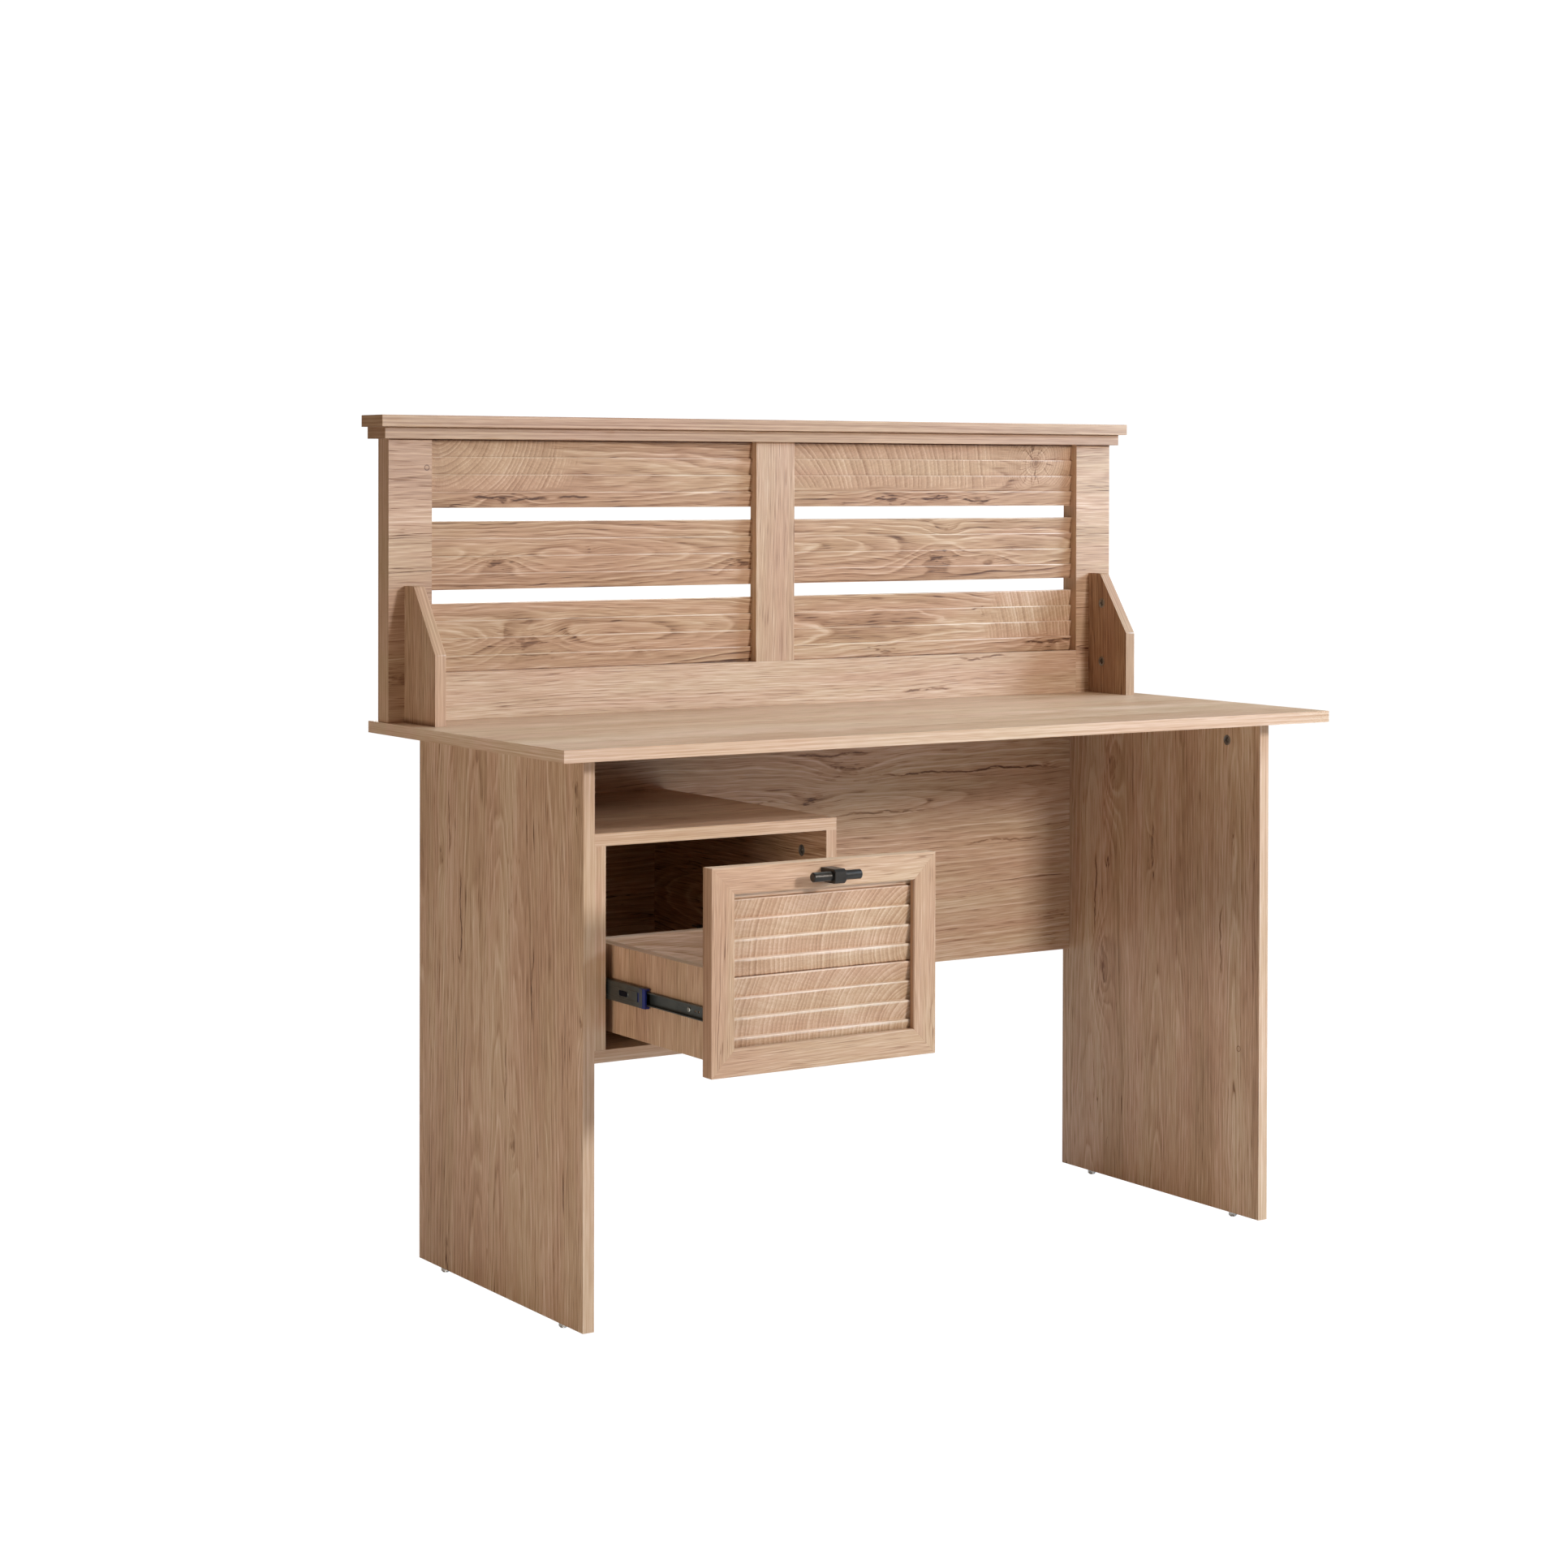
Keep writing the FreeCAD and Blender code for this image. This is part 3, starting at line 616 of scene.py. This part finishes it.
board("leg_panel_left", ALONG_Z, ALONG_Y, 1.0, **LEG, tone=0.02,
      splits=[(0.488, 0.228, 0.07, 1.0), (0.61, 0.262, 0.05, 0.8), (0.30, 0.10, 0.05, 0.7),
              (0.42, 0.03, 0.06, 0.6)],
      knots=[(0.560, 0.283, 0.008, 1.0), (0.683, -0.088, 0.012, 0.8), (0.211, 0.080, 0.010, 0.8),
             (0.393, -0.100, 0.008, 0.9)])
board("leg_panel_right", ALONG_Z, ALONG_Y, 2.0, **LEG, eyes=[(0.248, -0.061, 0.0038, 0.7)],
      splits=[(0.437, 0.270, 0.07, 1.0), (0.399, -0.019, 0.06, 0.8), (0.513, 0.134, 0.05, 0.9)],
      knots=[(0.633, 0.230, 0.020, 0.7), (0.326, 0.254, 0.018, 0.7), (0.514, 0.135, 0.010, 0.6)])
board("modesty_panel", ALONG_X, ALONG_Z, 3.0, ring_width=0.008, taper=0.055, wander=0.03,
      heart=0.06, depth=0.006, streaks=0.52, figure=0.9, cracks=1.3, tone=0.02,
      splits=[(0.355, 0.630, 0.19, 1.0), (0.10, 0.665, 0.08, 0.8), (-0.05, 0.60, 0.06, 0.9),
              (0.20, 0.575, 0.10, 0.7), (0.42, 0.52, 0.08, 0.6)],
      knots=[(0.136, 0.641, 0.020, 0.7), (0.065, 0.600, 0.012, 0.9), (0.50, 0.629, 0.006, 1.0)])
board("desktop", ALONG_X, ALONG_Y, 4.0, plank=0.12, ring_width=0.006, taper=0.03, figure=0.5,
      cracks=0.3, streaks=0.8, tone=0.04)
board("open_shelf", ALONG_X, ALONG_Y, 5.0, plank=0.11, ring_width=0.006, taper=0.05, figure=0.7)
board("cabinet_side_left", ALONG_Y, ALONG_Z, 6.0, taper=0.12)
# Its lower tone paints the shade on its inner face inside the cabinet.
board("cabinet_side_right", ALONG_Y, ALONG_Z, 7.0, taper=0.12, tone=-0.1)
board("cabinet_bottom", ALONG_X, ALONG_Y, 8.0, plank=0.1)
board("hutch_post_left", ALONG_X, ALONG_Z, 9.0, **END_POST, heart=0.25, tone=-0.10,
      eyes=[(-0.5636, 1.087, 0.0034, 0.65)], knots=[(-0.60, 0.80, 0.02, 0.5)])
board("hutch_post_right", ALONG_X, ALONG_Z, 10.0, **END_POST, heart=0.2, tone=-0.05)
board("hutch_post_middle", ALONG_Z, ALONG_X, 11.0, **POST, ring_width=0.004, heart=0.2, depth=0.1,
      cracks=0.2, tone=-0.03)
board("hutch_rail", ALONG_X, ALONG_Z, 12.0, ring_width=0.005, heart=0.06, taper=0.02, figure=0.5,
      tone=0.04, streaks=0.62, cracks=0.4,
      splits=[(0.376, 0.801, 0.05, 0.7), (0.272, 0.756, 0.05, 0.9)])
board("hutch_cap_lower", ALONG_X, ALONG_Y, 13.0, **CAP)
board("hutch_cap_upper", ALONG_X, ALONG_Y, 14.0, **CAP)
board("bracket_left", ALONG_Z, ALONG_Y, 15.0, **BRACKET, tone=-0.05, band_tone=-0.08)
# Its lower tone paints the shade on its inner face.
board("bracket_right", ALONG_Z, ALONG_Y, 16.0, **BRACKET, tone=-0.22)

board("louvre_left_3", ALONG_X, ALONG_Z, 23.0, **LOUVRE, ring_width=0.006, taper=0.05,
      wander=0.03, depth=0.03, tone=-0.06, seams=[LOUVRE_CAP_SHADE],
      knots=[(-0.438, 1.044, 0.010, 0.9)],
      splits=[(-0.46, 1.046, 0.03, 1.0), (-0.40, 1.043, 0.035, 0.9), (-0.33, 1.046, 0.03, 0.8)],
      cross=[(-0.535, 1.140, 0.0062, 0.0, -ANY, -0.30, 1.052, ANY)])
board("louvre_left_2", ALONG_X, ALONG_Z, 22.0, **LOUVRE, ring_width=0.0065, taper=0.05,
      wander=0.03, depth=0.02, tone=-0.02,
      knots=[(-0.450, 0.956, 0.013, 1.0), (-0.047, 0.949, 0.012, 0.9),
             (-0.303, 0.973, 0.004, 1.0)])
board("louvre_left_1", ALONG_X, ALONG_Z, 21.0, **LOUVRE, ring_width=0.0065, taper=0.06,
      wander=0.04, depth=0.02, tone=-0.02, seams=[RAIL_SEAM],
      knots=[(-0.401, 0.844, 0.024, 0.7), (-0.225, 0.828, 0.008, 0.6)])
board("louvre_right_3", ALONG_X, ALONG_Z, 33.0, **LOUVRE, ring_width=0.006, taper=0.05,
      wander=0.03, depth=0.03, tone=-0.09, seams=[LOUVRE_CAP_SHADE],
      knots=[(0.215, 1.041, 0.010, 1.0), (0.300, 1.044, 0.007, 1.0), (0.374, 1.042, 0.008, 0.8)],
      splits=[(0.206, 1.042, 0.025, 1.0), (0.297, 1.044, 0.03, 1.0), (0.374, 1.042, 0.03, 1.0)],
      cross=[(-0.05, 0.98, 0.0075, 0.0, -ANY, 0.45, 1.056, ANY),
             (0.4845, 1.104, 0.0045, 1.0, 0.40, ANY, 1.056, ANY)])
board("louvre_right_2", ALONG_X, ALONG_Z, 32.0, **LOUVRE, ring_width=0.0065, taper=0.05,
      wander=0.03, depth=0.03, tone=-0.05,
      knots=[(0.297, 0.954, 0.016, 0.8), (0.318, 0.997, 0.008, 0.5), (0.40, 0.950, 0.012, 0.3)])
board("louvre_right_1", ALONG_X, ALONG_Z, 31.0, **LOUVRE, ring_width=0.006, taper=0.04,
      wander=0.04, depth=0.03, seams=[RAIL_SEAM], knots=[(0.515, 0.822, 0.011, 1.0)],
      splits=[(0.50, 0.822, 0.045, 1.0), (0.53, 0.8245, 0.03, 1.0)],
      cross=[(0.10, 0.72, 0.0065, 0.0, 0.36, ANY, 0.826, ANY)])

# Nose and the crest bands paint highlights on the slats; the dark line at each board's foot is a
# dark joint.
# The ring centre of each drawer louvre: beyond its right-hand end, and over its foot.
for row, beyond, above in ((1, -0.008, 0.020), (2, 0.012, 0.027)):
    low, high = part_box(f"front_louvre_{row}")
    board(f"front_louvre_{row}", ALONG_X, ALONG_Z, 43.0, ring_width=0.006, tone=0.02, nose=0.30,
          crests=[(low.z + up - 0.4 * half, half, strength) for up, half, strength in SLAT_CREST_HIGHLIGHTS],
          seams=[(low.z, 0.0019, 0.85)],
          cross=[(high.x + beyond, low.z + above, 0.0060, 0.0, -ANY, ANY, -ANY, ANY)])
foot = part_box("front_louvre_3")[0].z
rail_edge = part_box("front_rail_top")[0].z
# Its raised tone paints light on this strip, which lies recessed in the top rail's shade; the dark
# line at the rail's edge is painted shade under the rail, the one at its foot a dark joint.
board("front_louvre_3", ALONG_X, ALONG_Z, 44.0, ring_width=0.006, figure=0.4, cracks=0.2,
      streaks=0.6, tone=0.30, seams=[(rail_edge, 0.0016, 0.95), (foot, 0.0014, 0.75)])
# Band tone darkens the stiles' edge faces, painting the shade on their side faces.
board("front_stile_left", ALONG_Z, ALONG_X, 51.0, **FRONT_FRAME, figure=0.4, band_tone=-0.28)
board("front_stile_right", ALONG_Z, ALONG_X, 52.0, **FRONT_FRAME, figure=0.4, band_tone=-0.38)
board("front_rail_top", ALONG_X, ALONG_Z, 53.0, **FRONT_FRAME, figure=0.3, tone=0.05)
board("front_rail_bottom", ALONG_X, ALONG_Z, 54.0, **FRONT_FRAME, figure=0.4)
# Tone paints shade on the left drawer side, whose outer face is seen, and light inside the drawer
# on the right side and the back.
board("drawer_side_left", ALONG_Z, ALONG_Y, 55.0, **DRAWER_SIDE, cracks=0.1, tone=-0.07)
board("drawer_side_right", ALONG_Z, ALONG_Y, 56.0, **DRAWER_SIDE, tone=0.25)
board("drawer_inner_front", ALONG_X, ALONG_Z, 57.0, ring_width=0.005)
board("drawer_back", ALONG_X, ALONG_Z, 58.0, ring_width=0.006, taper=0.2, streaks=0.5, figure=1.2,
      tone=0.24)

for side in ("left", "right"):
    for member in ("ball_cage_inner", "ball_cage_outer", "runner_cabinet", "runner_drawer",
                   "runner_middle"):
        dress(f"{member}_{side}", zinc, edge=0)
    dress(f"runner_stop_{side}", blue, edge=0)
dress("cam_bolts", zinc, edge=0)
dress("cam_locks", die_cast, edge=0.0003)
dress("knob_bar", black)
dress("knob_neck", black)
dress("drawer_base", fibreboard, edge=0)
dress("floor_glides", glide, edge=0)


# ---------------------------------------------------------------- solids from stacks of loops


def lofted(name, stacks, material, body, stands_for=()):
    """Closed solids, each from a stack of loops with as many points, closed at its first and last
    loop. Point s of loop l is number l * count + s, and a face joins two neighbours on one loop
    with the same two on the next."""
    points, faces, start = [], [], 0
    for stack in stacks:
        levels, count = stack.shape[:2]
        points += stack.reshape(-1, 3).tolist()
        level, step = np.meshgrid(np.arange(levels - 1), np.arange(count), indexing="ij")
        here, there = level * count + step, level * count + (step + 1) % count
        quads = np.stack((here, there, there + count, here + count), axis=-1).reshape(-1, 4)
        loop = np.arange(count) + start
        faces += (quads + start).tolist()
        faces += [loop[::-1].tolist(), (loop + (levels - 1) * count).tolist()]
        start += levels * count
    mesh = bpy.data.meshes.new(name)
    mesh.from_pydata(points, [], faces)
    mesh.materials.append(material)
    piece = bpy.data.objects.new(name, mesh)
    bpy.context.collection.objects.link(piece)
    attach(piece, body)
    if stands_for:
        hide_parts(*stands_for)


# ---------------------------------------------------------------- fittings with driver recesses

# Rings are radius and height over the seat. A driver's cross is half its bar's width, the reach of
# its arms and its depth.
CAM_RINGS = [(0.0072, -0.0120), (0.0075, -0.0117), (0.0075, -0.0003), (0.0072, 0.0), (0.0064, 0.0),
             (0.0060, -0.0006), (0.0054, -0.0006)]
CAM_CROSS = (0.0015, 0.0044, 0.0026)
CAM_FROM_EDGE = 0.032
LEG_CAM_FROM_FRONT, CABINET_CAM_FROM_FRONT = 0.072, 0.059
BRACKET_CAM_HEIGHTS = (0.049, 0.139)

SCREW_RADIUS, SCREW_HEIGHT = 0.0032, 0.0014
SCREW_CROSS = (0.00045, 0.0017, 0.0009)
RUNNER_SCREW_FROM_FRONT, MEMBER_WEB = 0.0455, 0.0012
FRONT_SCREW_INSET_X, FRONT_SCREW_INSET_Z = 0.05, 0.03


def cross_outline(half_width, arm):
    """Turn and radius of 32 points round a plus sign. At each turn t the radius is the farther of
    its two bars' edges: the lesser of arm / |cos t| and half_width / |sin t|, and the same with
    cos and sin changed over."""
    corner = math.atan2(half_width, arm)
    steps = np.array([0.0, corner / 2, corner, corner + (math.pi / 4 - corner) / 2])
    quarter = np.concatenate((steps, [math.pi / 4], (math.pi / 2 - steps)[:0:-1]))
    turn = (quarter[None, :] + np.arange(4)[:, None] * math.pi / 2).ravel()
    c, s = np.abs(np.cos(turn)) + 1e-9, np.abs(np.sin(turn)) + 1e-9
    radius = np.maximum(np.minimum(arm / c, half_width / s), np.minimum(arm / s, half_width / c))
    return turn, radius


def recessed_heads(heads, rings, cross):
    """Stacks of loops for round heads that end in a driver's cross, whose floor is the last loop.
    A point lies at seat + radius * (cos t side + sin t other) + height * axis."""
    turn, outline = cross_outline(*cross[:2])
    loops = [(radius + 0 * outline, height) for radius, height in rings]
    loops += [(outline, loops[-1][1]), (outline * 0.86, loops[-1][1] - cross[2])]
    radii = np.array([radius for radius, _ in loops])
    heights = np.array([height for _, height in loops])
    stacks = []
    for seat, axis in heads:
        axis = np.array(axis, float)
        side = np.array((0.0, 0.0, 1.0))
        other = np.cross(axis, side)
        round_it = np.cos(turn)[None, :, None] * side + np.sin(turn)[None, :, None] * other
        stacks.append(np.array(seat) + round_it * radii[:, :, None]
                      + heights[:, None, None] * axis)
    return stacks


def cam_seats():
    """The middle of each cam lock's face and the way it looks: one inside each leg, two inside each
    bracket, one inside each side of the cabinet."""
    leg, side, bracket = (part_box("leg_panel_right"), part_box("cabinet_side_right"),
                          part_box("bracket_right"))
    seats = []
    for sign in (-1, 1):
        seats.append(((sign * leg[0].x, leg[0].y + LEG_CAM_FROM_FRONT, leg[1].z - CAM_FROM_EDGE),
                      (-sign, 0, 0)))
        for height in BRACKET_CAM_HEIGHTS:
            seats.append(((sign * bracket[0].x, bracket[1].y - CAM_FROM_EDGE,
                           bracket[0].z + height), (-sign, 0, 0)))
    along, level = side[0].y + CABINET_CAM_FROM_FRONT, side[1].z - CAM_FROM_EDGE
    seats.append(((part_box("cabinet_side_left")[1].x, along, level), (1, 0, 0)))
    seats.append(((side[0].x, along, level), (-1, 0, 0)))
    return seats


def pan_head(radius, height):
    """Rings of a pan head: a short upright rim, a round shoulder and a nearly flat crown."""
    return [(radius, 0.0), (radius, height * 0.35), (radius * 0.93, height * 0.72),
            (radius * 0.78, height * 0.92), (radius * 0.66, height)]


def screw_seats():
    """Each runner's screw in its drawer member, the four that hold the front, the knob's own."""
    runner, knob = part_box("runner_drawer_left"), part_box("knob_neck")
    left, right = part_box("drawer_side_left"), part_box("drawer_side_right")
    low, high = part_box("drawer_inner_front")
    along, level = runner[0].y + RUNNER_SCREW_FROM_FRONT, (runner[0].z + runner[1].z) / 2
    seats = [((left[0].x - MEMBER_WEB, along, level), (-1, 0, 0)),
             ((right[1].x + MEMBER_WEB, along, level), (1, 0, 0))]
    for x in (low.x + FRONT_SCREW_INSET_X, high.x - FRONT_SCREW_INSET_X):
        for z in (low.z + FRONT_SCREW_INSET_Z, high.z - FRONT_SCREW_INSET_Z):
            seats.append(((x, high.y, z), (0, 1, 0)))
    knob_x, knob_z = (knob[0].x + knob[1].x) / 2, (knob[0].z + knob[1].z) / 2
    seats.append(((knob_x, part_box("front_rail_top")[1].y, knob_z), (0, 1, 0)))
    return seats


lofted("cam_lock_faces", recessed_heads(cam_seats(), CAM_RINGS, CAM_CROSS), die_cast, "desk",
       ["cam_locks"])
lofted("drawer_screws",
       recessed_heads(screw_seats(), pan_head(SCREW_RADIUS, SCREW_HEIGHT), SCREW_CROSS),
       bright_zinc, "drawer")


# ---------------------------------------------------------------- pressed runner members

# Rings are radius and height over the face.
BEAD_RINGS = [(0.0009, -0.0001), (0.0009, 0.0002), (0.0006, 0.00045), (0.0002, 0.0005)]
HOLE_RINGS = [(0.0046, -0.0001), (0.0046, 0.0002), (0.0042, 0.0005), (0.0037, 0.0005),
              (0.0035, 0.0003)]
# The pit rings make a dark disc of painted shadow inside the access hole's rim.
HOLE_SHADOW_RINGS = [(0.0035, 0.0), (0.0035, 0.00034), (0.0031, 0.00038)]
BAR_RINGS = [(0.0021, -0.0001), (0.0021, 0.0003), (0.0016, 0.0005)]
CLAW_RINGS = [(0.0019, -0.0001), (0.0019, 0.0004), (0.0014, 0.0006)]
BEAD_FROM_MIDDLE, BEAD_MARGIN, BEAD_SHIFT = 0.0062, 0.006, 0.002
HOLE_FROM_FRONT, HOLE_HALF = 0.0405, 0.0075
BAR_FROM_FRONT, BAR_MARGIN = 0.0085, 0.0023
CLAW_BEHIND_FACE, CLAW_HALF = 0.0034, 0.0010


def oval(seat, axis, along, half_length, rings):
    """Loops of a raised or sunk oval on a flat face. At each turn t a point lies at the seat,
    moved by half the straight part forwards or backwards, plus
    radius * (cos t along + sin t across) + height * axis."""
    turn = (np.arange(24) + 0.5) * math.tau / 24
    across = np.cross(axis, along)
    c, s = np.cos(turn), np.sin(turn)[:, None]
    radius, height = np.array(rings).T[:, :, None, None]
    ahead = np.where(c > 0, half_length, -half_length)[None, :, None] + radius * c[:, None]
    return (np.array(seat) + ahead * np.array(along) + radius * s * across
            + height * np.array(axis))


def make_runner_details():
    """Two beads along each middle member, the rim of its access hole with a dark disc of painted
    shadow inside it, and the pressed bars that hold its plastic end: one across the face and one
    above and below it."""
    x_way, y_way, z_way = (1.0, 0.0, 0.0), (0.0, 1.0, 0.0), (0.0, 0.0, 1.0)
    for side, sign in (("left", -1), ("right", 1)):
        low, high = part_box(f"runner_middle_{side}")
        stop_low, stop_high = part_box(f"runner_stop_{side}")
        face = low.x if sign < 0 else high.x
        out = (float(sign), 0.0, 0.0)
        level, centre, half = (low.z + high.z) / 2, (low.y + high.y) / 2, (high.y - low.y) / 2
        bar_y = stop_low.y + BAR_FROM_FRONT
        hole = (face, low.y + HOLE_FROM_FRONT, level)
        stacks = [oval((face, centre + BEAD_SHIFT, level + up), out, y_way, half - BEAD_MARGIN,
                       BEAD_RINGS) for up in (-BEAD_FROM_MIDDLE, BEAD_FROM_MIDDLE)]
        stacks.append(oval(hole, out, y_way, HOLE_HALF, HOLE_RINGS))
        reach = (stop_high.z - stop_low.z) / 2 - BAR_MARGIN
        stacks.append(oval((face, bar_y, level), out, z_way, reach, BAR_RINGS))
        for z, way in ((stop_high.z, 1.0), (stop_low.z, -1.0)):
            stacks.append(oval((face - sign * CLAW_BEHIND_FACE, bar_y, z), (0.0, 0.0, way), x_way,
                               CLAW_HALF, CLAW_RINGS))
        lofted(f"runner_pressings_{side}", stacks, zinc, f"runner_middle_{side}")
        lofted(f"runner_hole_shadow_{side}", [oval(hole, out, y_way, HOLE_HALF, HOLE_SHADOW_RINGS)],
               hole_shadow, f"runner_middle_{side}")


make_runner_details()


# ---------------------------------------------------------------- floor, light and camera

FLOOR_CORNERS = [(-9, -7, 0), (9, -7, 0), (9, 9, 0), (-9, 9, 0)]
FLOOR_GLOW, FLOOR_GLOW_SHARE = 1.1, 0.93
SKY_LIGHT, SKY_SEEN = 0.16, 0.94
SKY_WARMTH, WHITE = (1.0, 0.66, 0.46, 1), (1, 1, 1, 1)

CAMERA_PLACE = (-2.473391, -3.505573, 1.075982)
CAMERA_YAW, CAMERA_PITCH, CAMERA_ROLL = -32.965, -0.666, 0.131
CAMERA_LENS, CAMERA_SENSOR, CAMERA_SHIFT_Y = 71.95, 36.0, -0.17283
CAMERA_NEAR, CAMERA_FAR = 0.05, 60.0


def make_floor():
    """A plain white floor, so bright that only the faint shade under the legs is seen on it."""
    mesh = bpy.data.meshes.new("studio_floor")
    mesh.from_pydata(FLOOR_CORNERS, [], [(0, 1, 2, 3)])
    floor = bpy.data.objects.new("studio_floor", mesh)
    bpy.context.collection.objects.link(floor)
    material, r, shader = new_material("white_floor")
    surface = shader.outputs[0].links[0].to_socket
    place = r.scaled(r.add("ShaderNodeTexCoord").outputs["Object"], (3, 3, 3))
    mottle, _ = r.cloud(place, 2.0)
    shades = r.blend(mottle, (0.70, 0.70, 0.70, 1), (0.74, 0.74, 0.74, 1))
    r.wire(shades, shader.inputs["Base Color"])
    shader.inputs["Roughness"].default_value = 0.9
    glow = r.add("ShaderNodeEmission", {"Color": WHITE, "Strength": FLOOR_GLOW})
    seen = r.add("ShaderNodeLightPath").outputs["Is Camera Ray"]
    mix = r.add("ShaderNodeMixShader", {0: r.times(seen, FLOOR_GLOW_SHARE)})
    r.wire(shader.outputs[0], mix.inputs[1])
    r.wire(glow.outputs[0], mix.inputs[2])
    r.wire(mix.outputs[0], surface)
    mesh.materials.append(material)


def soft_box(name, azimuth, height, distance, size, power, colour, aim=(0.0, 0.1, 0.72),
             spread=180):
    """A soft box aimed at the desk. Azimuth is turned from the front towards the right-hand side,
    height is over the floor's level. Both are in degrees, power is in watts."""
    lamp = bpy.data.lights.new(name, "AREA")
    lamp.shape, lamp.size, lamp.size_y = "RECTANGLE", size[0], size[1]
    lamp.energy, lamp.color, lamp.spread = power, colour, math.radians(spread)
    a, h = math.radians(azimuth), math.radians(height)
    way = Vector((math.sin(a) * math.cos(h), -math.cos(a) * math.cos(h), math.sin(h)))
    box = bpy.data.objects.new(name, lamp)
    box.location = Vector(aim) + way * distance
    box.rotation_euler = way.to_track_quat("Z", "Y").to_euler()
    bpy.context.collection.objects.link(box)


def make_studio():
    """Faint warm light from all round, white where it is seen. A small box before the desk and one
    above it, wide ones on its right, behind and overhead, a low one on its left, and a weak narrow
    one over the drawer."""
    world = bpy.data.worlds.new("white_studio")
    bpy.context.scene.world = world
    world.use_nodes = True
    world.node_tree.nodes.clear()
    r = Recipe(world.node_tree)
    seen = r.add("ShaderNodeLightPath").outputs["Is Camera Ray"]
    strength = r.plus(SKY_LIGHT, r.times(seen, SKY_SEEN))
    colour = r.blend(seen, SKY_WARMTH, WHITE)
    sky = r.add("ShaderNodeBackground", {"Color": colour, "Strength": strength})
    out = r.add("ShaderNodeOutputWorld")
    r.wire(sky.outputs[0], out.inputs[0])
    soft_box("front_box", 15.6, 16.4, 4.5, (0.58, 0.58), 118, (0.965, 0.985, 1.0))
    soft_box("upper_box", 10, 42, 3.6, (0.9, 0.7), 12, (1.0, 0.95, 0.80))
    soft_box("side_box", 69, 21, 3.3, (1.12, 1.0), 106, (0.70, 1.0, 1.30))
    soft_box("back_box", 162, 14, 4.5, (2.0, 1.5), 70, (1.0, 0.99, 0.97))
    soft_box("top_box", 180, 82, 2.6, (2.4, 1.6), 36, (0.88, 1.04, 1.08))
    soft_box("left_box", -72, -3, 2.7, (1.3, 0.8), 4.1, (1.03, 1.0, 0.92),
             aim=(-0.45, -0.05, 0.34), spread=55)
    soft_box("drawer_box", 0, 44, 1.6, (0.3, 0.3), 0.050, (1.0, 0.90, 0.76),
             aim=(-0.40, -0.05, 0.47), spread=10)


def make_camera():
    """The long lens stands low in front of the desk's left-hand corner."""
    lens = bpy.data.cameras.new("view")
    lens.lens, lens.sensor_width, lens.shift_y = CAMERA_LENS, CAMERA_SENSOR, CAMERA_SHIFT_Y
    lens.clip_start, lens.clip_end = CAMERA_NEAR, CAMERA_FAR
    camera = bpy.data.objects.new("view", lens)
    bpy.context.collection.objects.link(camera)
    place = Matrix.Translation(CAMERA_PLACE)
    yaw = Matrix.Rotation(math.radians(CAMERA_YAW), 4, "Z")
    pitch = Matrix.Rotation(math.radians(90.0 + CAMERA_PITCH), 4, "X")
    roll = Matrix.Rotation(math.radians(CAMERA_ROLL), 4, "Z")
    camera.matrix_world = place @ yaw @ pitch @ roll
    bpy.context.scene.camera = camera


make_floor()
make_studio()
make_camera()
bpy.context.scene.view_settings.view_transform = "Standard"
